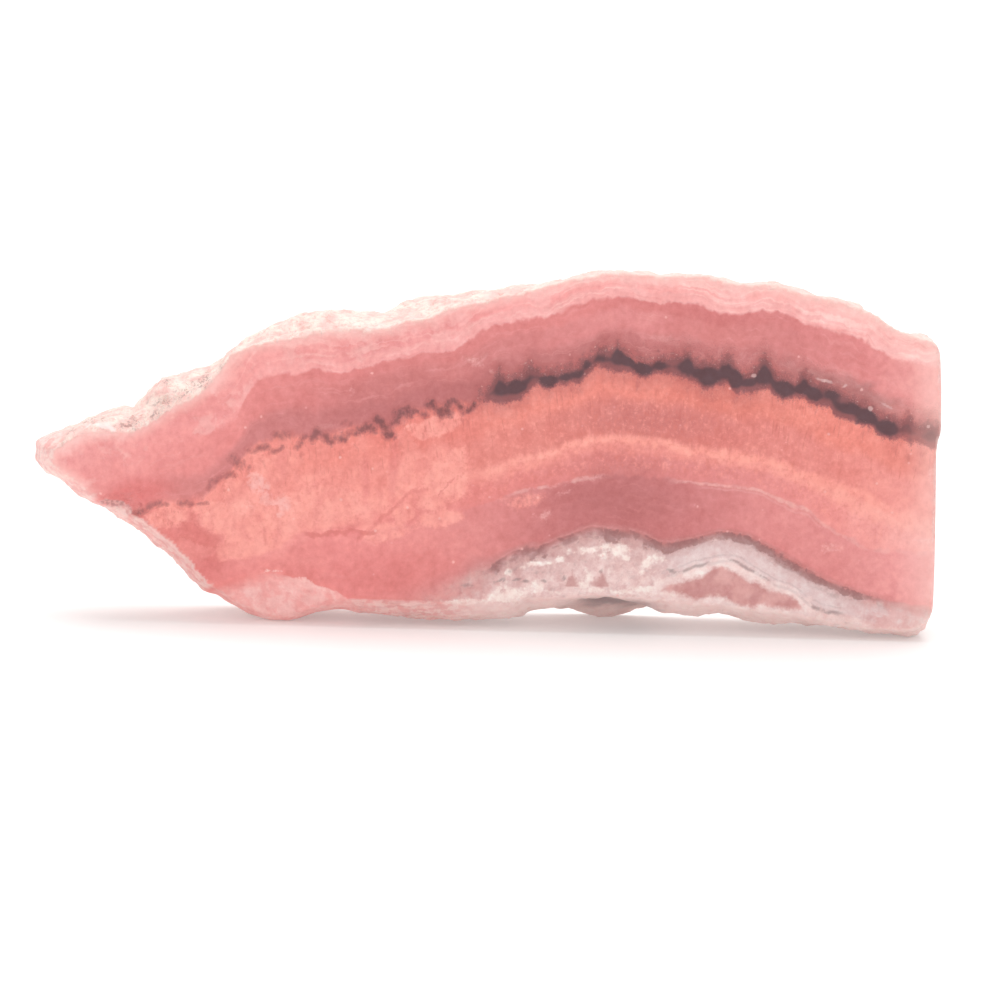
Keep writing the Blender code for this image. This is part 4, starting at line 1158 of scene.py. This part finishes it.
relief = {
    "Lump Size": 1.7 * mm, "Lump Height": 0.60 * mm, "Grain Size": 0.62 * mm, "Grain Height": 0.32 * mm,
    "Pit Size": 1.1 * mm, "Pit Depth": 0.30 * mm, "Seed": 4.0,
}


def namedValue(name):
    return output(addNode("GeometryNodeInputNamedAttribute", {"Name": name}, data_type="FLOAT"), "Attribute")


def waves(place, size, seed, detail):
    # noise about zero, at a size in metres
    inputs = {"Vector": place, "W": seed, "Scale": 1.0 / size, "Detail": detail}
    return output(addNode("ShaderNodeTexNoise", inputs, noise_dimensions="4D")) - 0.5


def makeReliefTree(finished):
    sockets = {"Geometry": "Geometry", **{name: "Float" for name in relief}}
    tree, start, end = newGroup("rimRelief", "GeometryNodeTree", sockets, {"Geometry": "Geometry"})
    given = {name: output(start, name) for name in sockets}
    place = output(addNode("GeometryNodeInputPosition"))
    normal = output(addNode("GeometryNodeInputNormal"))
    skin = namedValue("skin")
    lumps = waves(place, given["Lump Size"], given["Seed"], 2) * given["Lump Height"]
    grain = waves(place, given["Grain Size"], given["Seed"] + 3, 2) * given["Grain Height"]
    pits = rise(waves(place, given["Pit Size"], given["Seed"] + 7, 1), 0.13, 0.22) * given["Pit Depth"]
    outwards = {0: normal, "Scale": (lumps + grain - pits) * skin}
    offset = output(addNode("ShaderNodeVectorMath", outwards, operation="SCALE"))
    shape = output(addNode("GeometryNodeSetPosition", {"Geometry": given["Geometry"], "Offset": offset}))
    shape = output(addNode("GeometryNodeRealizeInstances", {"Geometry": shape}))
    for name, chosen in (
        ("sawnFace", True),
        ("naturalRim", calc("GREATER_THAN", skin, 0.001)),
        ("sawnEnd", calc("GREATER_THAN", namedValue("sawnEnd"), 0.5)),
    ):
        inputs = {"Geometry": shape, "Selection": chosen, "Material": finished[name]}
        shape = output(addNode("GeometryNodeSetMaterial", inputs))
    wire(end.inputs[0], shape)
    return tree


def roughenRim(piece, finished):
    modifier = piece.modifiers.new("rimRelief", "NODES")
    modifier.node_group = makeReliefTree(finished)
    # a modifier's inputs are set by their sockets' identifiers
    for item in modifier.node_group.interface.items_tree:
        if item.item_type == "SOCKET" and item.in_out == "INPUT" and item.name in relief:
            modifier[item.identifier] = relief[item.name]
    piece.update_tag()
    settle(piece)
    piece.data.shade_smooth()
    print("rim roughened:", len(piece.data.polygons), "faces")


# The table, the light and the camera

# A white light table: it glows a little, so the shadow on it is pale
tableTop = {"colour": (0.82, 0.815, 0.81, 1), "rough": 0.6, "glow": 0.24, "halfSide": 6.0}


def makeTable():
    mesh = bpy.data.meshes.new("table")
    side = tableTop["halfSide"]
    corners = [(-side, -side, 0), (side, -side, 0), (side, side, 0), (-side, side, 0)]
    mesh.from_pydata(corners, [], [(0, 1, 2, 3)])
    table = bpy.data.objects.new("table", mesh)
    bpy.context.scene.collection.objects.link(table)
    material = bpy.data.materials.new("whiteTable")
    material.use_nodes = True
    shader = material.node_tree.nodes["Principled BSDF"]
    shader.inputs["Base Color"].default_value = tableTop["colour"]
    shader.inputs["Roughness"].default_value = tableTop["rough"]
    shader.inputs["Emission Color"].default_value = tableTop["colour"]
    shader.inputs["Emission Strength"].default_value = tableTop["glow"]
    mesh.materials.append(material)


# A wide soft sun from above and a little behind, and a weak lamp from the front left
sun = {"from": (0.02, 0.25, 1.0), "softness": 56.0, "strength": 2.12, "colour": (1.0, 0.99, 0.98)}
fill = {"place": (-0.30, -0.80, 0.40), "size": 0.60, "power": 0.8}
sky = {"Color": (1.0, 1.0, 1.0, 1.0), "Strength": 0.66}


def placeInScene(name, data, place, turn):
    holder = bpy.data.objects.new(name, data)
    holder.location = place
    holder.rotation_mode = "QUATERNION"
    holder.rotation_quaternion = turn
    bpy.context.scene.collection.objects.link(holder)
    return holder


def aimAt(place, target):
    return (Vector(target) - Vector(place)).to_track_quat("-Z", "Y")


def makeLights():
    lamp = bpy.data.lights.new("softSun", "SUN")
    lamp.angle = math.radians(sun["softness"])
    lamp.energy = sun["strength"]
    lamp.color = sun["colour"]
    placeInScene("softSun", lamp, (0, 0, 0), aimAt(sun["from"], (0, 0, 0)))
    lamp = bpy.data.lights.new("frontFill", "AREA")
    lamp.shape = "DISK"
    lamp.size = fill["size"]
    lamp.energy = fill["power"]
    placeInScene("frontFill", lamp, fill["place"], aimAt(fill["place"], (0, 0, 0)))
    world = bpy.data.worlds.new("paleRoom")
    world.use_nodes = True
    for name, value in sky.items():
        world.node_tree.nodes["Background"].inputs[name].default_value = value
    bpy.context.scene.world = world


view = {"target": (1.55 * mm, -6.0 * mm, 13.35 * mm), "distance": 450 * mm, "elevation": 8.5, "roll": 1.47,
        "pixelsPerMm": 10.03, "frameWidth": 1000, "sensor": 36.0, "nearest": 0.01}


def makeCamera():
    lens = bpy.data.cameras.new("camera")
    lens.sensor_width = view["sensor"]
    lens.lens = view["pixelsPerMm"] * view["distance"] / mm * view["sensor"] / view["frameWidth"]
    lens.clip_start = view["nearest"]
    up = math.radians(view["elevation"])
    target = Vector(view["target"])
    place = target + Vector((0, -math.cos(up), math.sin(up))) * view["distance"]
    roll = Quaternion((0, 0, 1), math.radians(view["roll"]))
    bpy.context.scene.camera = placeInScene("camera", lens, place, aimAt(place, target) @ roll)


makeCamera()
slab = meshStone()
bandGroup = makeBandGroup()
skinGroup = makeSkinGroup()
finished = {name: makeFinish(name, bandGroup, skinGroup) for name in finishes}
print("finishes made")
roughenRim(slab, finished)
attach(slab, "root")
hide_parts("slice")
makeTable()
makeLights()
bpy.context.scene.view_settings.view_transform = "Standard"
print("table, light and camera set")
